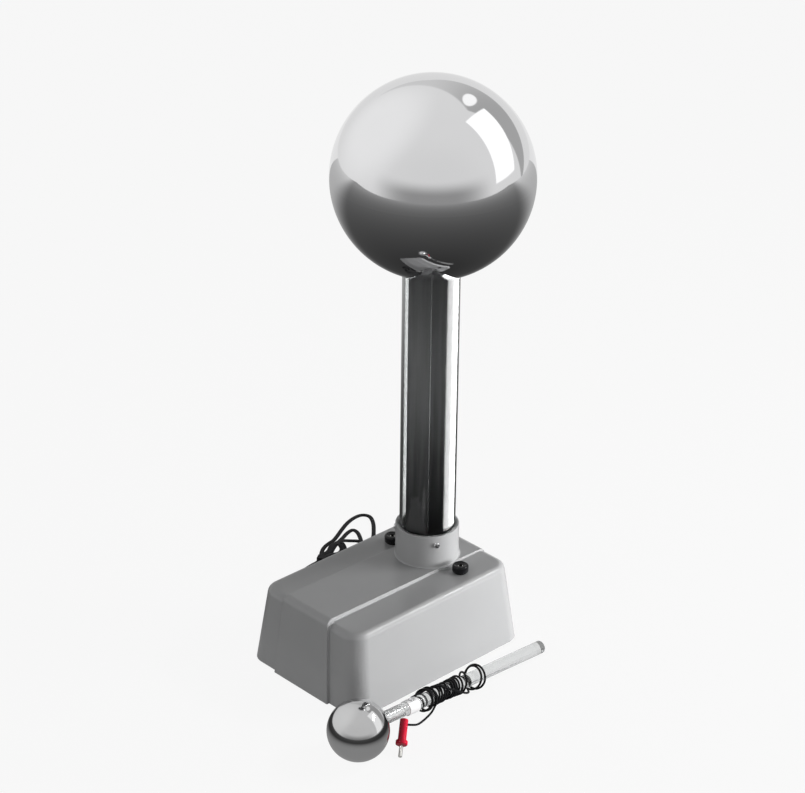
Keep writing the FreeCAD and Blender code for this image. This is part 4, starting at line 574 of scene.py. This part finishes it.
grey_nylon, start, sockets = finish_named("grey_nylon")
cast = grain(start, place(start), 320.0, 3.0)
drive(start, sockets, "Base Color", between(start, cast, (0.10, 0.10, 0.105), (0.14, 0.14, 0.146)))
drive(start, sockets, "Roughness", 0.42 + cast * 0.14)
dress(grey_nylon, "head_frame", "comb_bar")


# Combs, bushes and nuts
# The combs are thin nickelled sheet with pointed teeth, and the terminals' studs and the mains plug's pins
# are nickelled too. The bushes and the terminals' nuts are brass, lightly tarnished.
nickel, start, sockets = finish_named("bright_nickel", Metallic=1.0)
rub = grain(start, place(start, (6, 1, 1)), 260.0, 4.0)
drive(start, sockets, "Base Color", between(start, rub, (0.70, 0.69, 0.66), (0.84, 0.83, 0.80)))
drive(start, sockets, "Roughness", 0.08 + rub * 0.12)
dress(nickel, "lower_comb", "upper_comb", "mains_plug_pins", "terminal_studs")

brass, start, sockets = finish_named("brass", Metallic=1.0)
tarnish = grain(start, place(start), 130.0, 4.0)
drive(start, sockets, "Base Color", between(start, tarnish, (0.62, 0.43, 0.17), (0.80, 0.58, 0.27)))
drive(start, sockets, "Roughness", 0.18 + tarnish * 0.2)
dress(brass, "lower_bushes", "upper_bushes", "terminal_nuts")


# Motor
# A small motor in a drawn steel can with a pressed end plate, screwed to its bracket. Its cores are stacks
# of thin sheet.
can_steel, start, sockets = finish_named("motor_steel", Metallic=1.0)
drawn = grain(start, place(start, (0.1, 1, 1)), 240.0, 4.0)
drive(start, sockets, "Base Color", between(start, drawn, (0.42, 0.43, 0.45), (0.56, 0.57, 0.58)))
drive(start, sockets, "Roughness", 0.24 + drawn * 0.16)
dress(can_steel, "motor_can", "motor_end_bell")

core_sheet, start, sockets = finish_named("core_sheet", Metallic=0.85)
at = place(start)
stack = start.node(
    "ShaderNodeTexWave", {"wave_type": "BANDS", "bands_direction": "X"}, {"Vector": at, "Scale": 330.0}, 1
)
drive(start, sockets, "Base Color", between(start, stack, (0.10, 0.095, 0.09), (0.23, 0.22, 0.21)))
drive(start, sockets, "Roughness", 0.42 + stack * 0.18)
dress(core_sheet, "motor_stator", "motor_rotor")


# Terminal caps, washers and switch
# Glossy black moulded plastic: round screw caps with a shallow dish round the plug's mouth, plain
# insulating washers below them, and the rocker switch in the back wall.
gloss_black, start, sockets = finish_named("gloss_black", Specular_IOR_Level=0.2)
swirl = grain(start, place(start), 240.0, 3.0)
drive(start, sockets, "Base Color", between(start, swirl, (0.004, 0.004, 0.005), (0.009, 0.009, 0.010)))
drive(start, sockets, "Roughness", 0.07 + swirl * 0.07)

ROOF = 91.2  # the housing's top face
CAP, CAP_BASE, CAP_TOP = 8.8, 1.5, 9.3
ROUND_TOP, ROUND_LOW, DISH, CAP_MOUTH, CAP_BORE = 2.2, 0.8, 1.2, 2.8, 3.6
LOW_CUT = 0.25  # how far the lower round stays inside the corner
MOUTH_LIP = 0.3  # how thick the cap is where its mouth is narrower than its bore
CURVE = 12  # points on each curved part of the outline
cap_outline = [(CAP_BORE, CAP_BASE), (CAP - ROUND_LOW, CAP_BASE), (CAP - LOW_CUT, CAP_BASE + LOW_CUT)]
cap_outline += [(CAP, CAP_BASE + ROUND_LOW), (CAP, CAP_TOP - ROUND_TOP)]
for n in range(1, CURVE + 1):
    turn = math.radians(90 * n / CURVE)
    cap_outline.append((CAP - ROUND_TOP * (1 - math.cos(turn)), CAP_TOP - ROUND_TOP * (1 - math.sin(turn))))
for n in range(1, CURVE + 1):
    share = n / CURVE
    radius = CAP - ROUND_TOP + (CAP_MOUTH - CAP + ROUND_TOP) * share
    cap_outline.append((radius, CAP_TOP - DISH * math.sin(share * math.pi / 2)))
mouth_foot = CAP_TOP - DISH - MOUTH_LIP
cap_outline += [(CAP_MOUTH, mouth_foot), (CAP_BORE, mouth_foot)]
for side, x, y in (("right", 49.6, 60.5), ("left", -45.5, 50.5)):
    cap = turned("terminal_cap_" + side + "_gloss", cap_outline, on_table(x, y, ROOF), (0, 0, 1), 96)
    settle(cap, "cap_" + side, "cap_black", gloss_black, "terminal_cap_" + side)
dress(gloss_black, "terminal_washers", "switch_body", "switch_rocker")


# Wand
# A hollow polished ball on a clear acrylic rod, joined by a metal stud. A short bright sleeve on the rod
# clamps the lead.
BALL, BALL_WALL, STUD, ROD = 32.0, 1.2, 4.0, 7.0
ROD_END, BORE_END = 277.5, 61.0  # the ends of the rod and of its bore, from the ball's middle
ROD_EDGE, FIT = 0.5, 0.05  # the bevel on the rod's end, and its play on the ball
plated, start, sockets = finish_named("plated_ball", Metallic=1.0)
haze = grain(start, place(start), 26.0, 4.0)
drive(start, sockets, "Base Color", between(start, haze, (0.55, 0.55, 0.555), (0.65, 0.65, 0.65)))
drive(start, sockets, "Roughness", 0.05 + haze * 0.05)
hollow = BALL - BALL_WALL
open_out, open_in = math.degrees(math.acos(STUD / BALL)), math.degrees(math.acos(STUD / hollow))
ball_outline = outline_arc(BALL, -90, open_out, 96) + outline_arc(hollow, open_in, -90, 96)
ball = turned("wand_ball_polished", ball_outline, ball_middle, wand_along)
settle(ball, "wand", "dome_steel", plated, "wand_ball")

rod_acrylic, start, sockets = finish_named(
    "rod_acrylic", IOR=ACRYLIC_BENDS, Transmission_Weight=1.0, Base_Color=(0.70, 0.71, 0.71)
)
wipe = grain(start, place(start, (1, 0.08, 1)), 120.0, 4.0)
drive(start, sockets, "Roughness", 0.008 + wipe * 0.03)
# The rod's near end is hollowed to sit on the ball, and bored for the stud
rod_outline = [(STUD, BORE_END)]
rod_outline += [(out, math.sqrt(BALL**2 - out**2) + FIT) for out in (STUD, 5.0, 6.0, ROD)]
rod_outline += [(ROD, ROD_END - ROD_EDGE), (ROD - ROD_EDGE, ROD_END), (0.0, ROD_END), (0.0, BORE_END)]
rod = turned("wand_rod_clear", rod_outline, ball_middle, wand_along, 96)
settle(rod, "wand", "clear_acrylic", rod_acrylic, "wand_rod")
satin, start, sockets = finish_named("satin_aluminium", Metallic=0.3)
brush = grain(start, place(start, (1, 0.2, 1)), 420.0, 3.0)
drive(start, sockets, "Base Color", between(start, brush, (0.68, 0.68, 0.685), (0.76, 0.76, 0.76)))
drive(start, sockets, "Roughness", 0.40 + brush * 0.10)
stud = smoothed("wand_stud", "stud", "wand", "screw_steel", satin)
ferrule = smoothed("wand_ferrule", "ferrule", "wand", "screw_steel", satin)
dress(screw_steel, "wand_ferrule_screw")


# Red plug
# A stackable plug on the end of the wand's lead: glossy red moulding with a round collar, and a bright
# nickelled pin.
red_gloss, start, sockets = finish_named("red_plastic", Specular_IOR_Level=0.15, Coat_Weight=0.12)
swirl = grain(start, place(start), 300.0, 3.0)
drive(start, sockets, "Base Color", between(start, swirl, (0.40, 0.002, 0.018), (0.48, 0.006, 0.030)))
drive(start, sockets, "Roughness", 0.16 + swirl * 0.10)
red_plug = smoothed("banana_plug_body", "red_plug", "wand", "plug_red", red_gloss)
red_plug_pin = smoothed("banana_plug_pin", "red_plug_pin", "wand", "screw_steel", nickel)


# Floor and light
# A wide plain table in a pale room. A window and a panel light it from the right and behind, with a small
# lamp for the edges and a card for the column.
def outputs_of(value, *names):
    """Other outputs of the node that a value comes from."""
    found = value.output.node.outputs
    return [Value(value.tree, found[name]) for name in names]


def rays(start):
    """Which rays see the stage, which see it through clear pieces or in a mirror, and how long they are."""
    path = start.node("ShaderNodeLightPath")
    direct, clear, glossy = outputs_of(path, "Is Camera Ray", "Is Transmission Ray", "Is Glossy Ray")
    mirrors, scatters, length = outputs_of(path, "Glossy Depth", "Diffuse Depth", "Ray Length")
    in_mirror = start.maths("MINIMUM", mirrors, 1.0)
    scattered = start.maths("MINIMUM", scatters, 1.0)
    through = clear * (1 - in_mirror) * (1 - scattered)
    return direct + through, through, glossy * in_mirror, length


def stage_nodes(tree):
    """The start of an empty tree."""
    for node in list(tree.nodes):
        tree.nodes.remove(node)
    return Value(tree)


BLACK, WHITE, PAPER, PALE = (0, 0, 0), (1, 1, 1), (0.80, 0.80, 0.80), (0.945, 0.945, 0.945)
SEEN_WHITE = 0.90  # how much of the table's look is plain white, so that the shadows stay
AWAY_X, AWAY_Y = -0.7221, 0.6918  # the way to the back of the room
bpy.ops.mesh.primitive_plane_add(size=8.0, location=(0, 0, 0))
floor = bpy.context.object
floor.name = "floor"
floor.select_set(False)
floor_look = bpy.data.materials.new("floor_look")
floor_look.use_nodes = True
start = stage_nodes(floor_look.node_tree)
seen, through, mirrored, length = rays(start)
paper = start.node("ShaderNodeBsdfDiffuse", None, {"Color": (*PAPER, 1.0)})
glow = start.node("ShaderNodeEmission", None, {"Color": (*WHITE, 1.0), "Strength": 1.0})
lit = start.node("ShaderNodeMixShader", None, {0: seen * SEEN_WHITE, 1: paper, 2: glow})
# Metal shows a dim table that grows paler towards the back, and a white sheet beyond its back edge. Close
# to the metal it is paler too
SHEET, SHEET_SLANT = 0.85, 0.6  # the sheet's brightness, and how far back its edge runs to the sides
spot = start.node("ShaderNodeTexCoord", output="Object")
foot = (column_at.x, column_at.y, 0.0)
far = start.node("ShaderNodeVectorMath", {"operation": "DISTANCE"}, {0: spot, 1: foot}, 1)
east, north = outputs_of(start.node("ShaderNodeSeparateXYZ", None, {0: spot}), "X", "Y")
east, north = east - column_at.x, north - column_at.y
behind = east * AWAY_X + north * AWAY_Y
aside = start.maths("ABSOLUTE", east * AWAY_Y - north * AWAY_X)
dim = fade(start, far, 0.0, 4.0, 0.025, 0.31, "LINEAR")
paler = fade(start, behind, 0.30, 1.1, 0.0, 0.34)
near = fade(start, length, 0.04, 0.15, 0.30, 0.0)
edge = fade(start, behind - aside * SHEET_SLANT, 1.04, 1.07, 0.0, SHEET)
shine = start.maths("MINIMUM", dim + paler + near + edge, SHEET)
shade = start.node("ShaderNodeEmission", None, {"Color": between(start, shine, BLACK, WHITE)})
whole = start.node("ShaderNodeMixShader", None, {0: mirrored, 1: lit, 2: shade})
start.node("ShaderNodeOutputMaterial", None, {"Surface": whole})
floor.data.materials.append(floor_look)


def facing(start, toward, axis):
    """How far a direction turns towards an axis, from -1 to 1."""
    return start.node("ShaderNodeVectorMath", {"operation": "DOT_PRODUCT"}, {0: toward, 1: axis}, 1)


world = bpy.data.worlds.new("room")
bpy.context.scene.world = world
world.use_nodes = True
start = stage_nodes(world.node_tree)
seen, through, mirrored, length = rays(start)
toward = start.node("ShaderNodeTexCoord", output="Generated")
east, north, rise = outputs_of(start.node("ShaderNodeSeparateXYZ", None, {0: toward}), "X", "Y", "Z")
behind = east * AWAY_X + north * AWAY_Y
# In front the room darkens towards the horizon, and it is paler high up on the left
WALL = 0.78  # the brightness of the room behind
HIGH_LEFT = (-0.70, -0.38, 0.60)
low = fade(start, rise, 0.0, 0.30, 0.31, 0.74)
ahead = fade(start, behind, -0.95, -0.30, 1.0, 0.0)
tone = low * ahead + (1 - ahead) * WALL
tone = tone + fade(start, facing(start, toward, HIGH_LEFT), 0.55, 0.95, 0.0, 0.13)
# Behind, a grey band lies between the top of the white sheet and the ceiling, up to an edge on the right
BACKWARD, RIGHTWARD = (-0.743, 0.669, 0.0), (0.669, 0.743, 0.0)
SHEET_RISE, SHEET_FALL = 0.466, 0.35  # how steeply the sheet's top goes up behind and down to the sides
UNDER_CEILING, FROM_EDGE = (0.1544, 1.5790, -1.0), (-0.6745, 0.2730, -0.105)
BAND, BAND_RIGHT = 0.12, 0.24  # how much darker the band is, and how much more so towards the right
back = facing(start, toward, BACKWARD)
right = facing(start, toward, RIGHTWARD)
over_sheet = rise - back * SHEET_RISE + start.maths("ABSOLUTE", right) * SHEET_FALL
band = fade(start, over_sheet, 0.0, 0.02) * fade(start, facing(start, toward, UNDER_CEILING), 0.0, 0.10)
band = band * fade(start, facing(start, toward, FROM_EDGE), -0.01, 0.02)
tone = tone - band * (BAND + fade(start, right, -0.1, 0.6, 0.0, BAND_RIGHT))
# A tall bright window to the right, over the table: the way inwards from each of its other three edges
FROM_RIGHT, FROM_LEFT, FROM_TOP = (-0.454, 0.867, -0.207), (0.664, -0.491, 0.564), (0.839, 0.347, -0.419)
PANE_BRIGHT = 1.25
pane = fade(start, facing(start, toward, FROM_RIGHT), 0.0, 0.02)
pane = pane * fade(start, facing(start, toward, FROM_LEFT), -0.06, -0.04)
pane = pane * fade(start, facing(start, toward, FROM_TOP), 0.0, 0.02)
pane = pane * fade(start, rise, 0.01, 0.04)
tone = tone + pane * (PANE_BRIGHT - tone)
# A round lamp high up at the back: where it is, and the ways across and up it
LAMP_AT, LAMP_ACROSS, LAMP_UP = (-0.150, 0.699, 0.700), (-0.766, -0.530, 0.367), (0.628, -0.481, 0.615)
LAMP_WIDE, LAMP_TALL, LAMP_BRIGHT = 0.085, 0.20, 1.10
wide = facing(start, toward, LAMP_ACROSS) / LAMP_WIDE
tall = facing(start, toward, LAMP_UP) / LAMP_TALL
round_lamp = fade(start, wide * wide + tall * tall, 0.70, 1.15, 1.0, 0.0)
round_lamp = round_lamp * fade(start, facing(start, toward, LAMP_AT), 0.5, 0.6)
tone = tone + round_lamp * (LAMP_BRIGHT - tone)
room_colour = between(start, tone / PANE_BRIGHT, BLACK, (PANE_BRIGHT,) * 3)
room = start.node("ShaderNodeBackground", None, {"Color": room_colour})
# What lights the plain pieces is brightest at the horizon and in front. Clear pieces show the camera's
# white behind them, mixed with the room that metal shows
CLEAR_SHARE = 0.6  # how much of that room they show
overhead = fade(start, rise, 0.0, 0.9, 0.80, 0.06, "LINEAR") + fade(start, 0 - north, 0.15, 1.0, 0.0, 0.50)
soft = start.node("ShaderNodeBackground", None, {"Color": between(start, overhead, BLACK, WHITE)})
pale = start.node("ShaderNodeBackground", None, {"Color": (*PALE, 1.0)})
first = start.node("ShaderNodeMixShader", None, {0: seen, 1: soft, 2: pale})
whole = start.node("ShaderNodeMixShader", None, {0: mirrored + through * CLEAR_SHARE, 1: first, 2: room})
start.node("ShaderNodeOutputWorld", None, {"Surface": whole})


def lamp(name, at, aim, width, height, power):
    """A soft lamp at a place, turned to what it lights."""
    light = bpy.data.lights.new(name, "AREA")
    light.shape, light.size, light.size_y, light.energy = "RECTANGLE", width, height, power
    made = bpy.data.objects.new(name, light)
    bpy.context.scene.collection.objects.link(made)
    made.location = at
    made.rotation_euler = (Vector(at) - Vector(aim)).to_track_quat("Z", "Y").to_euler()
    return made


def light_group(name, state, *pieces):
    """Pieces that a lamp's light takes in or leaves out."""
    group = bpy.data.collections.new(name)
    for piece in pieces:
        group.objects.link(piece)
    for entry in group.collection_objects:
        entry.light_linking.link_state = state
    return group


window = lamp("window", (1.15, 1.05, 1.15), (0.0, 0.05, 0.35), width=1.3, height=1.25, power=1.2)
window.visible_glossy = False
# A panel lights the right wall. It stands on the table, so the table takes no light from it, and the wand,
# which lies close to the base, throws no hard dark band along the wall
side = lamp("side_panel", (0.95, 0.98, 0.16), (-0.03, 0.05, 0.10), width=1.0, height=0.32, power=38.0)
side.visible_glossy = False
side.visible_transmission = False
side.light_linking.receiver_collection = light_group("all_but_floor", "EXCLUDE", floor)
wand_pieces = (ball, rod, stud, ferrule, wand_lead)
side.light_linking.blocker_collection = light_group("all_but_wand", "EXCLUDE", *wand_pieces)
lamp("edge_light", (0.67, 0.86, 0.99), (0.04, 0.0, 0.09), width=0.50, height=0.10, power=4.5)
# A bright card beside the column gives the tube a broad streak down its right side, and lights nothing else
card = lamp("card", (0.0908, 0.2365, 0.182), (0.0, 0.0585, 0.182), width=0.26, height=0.355, power=1.8)
card.visible_camera = False
card.light_linking.receiver_collection = light_group("column_alone", "INCLUDE", column)
bpy.context.scene.view_settings.view_transform = "Standard"
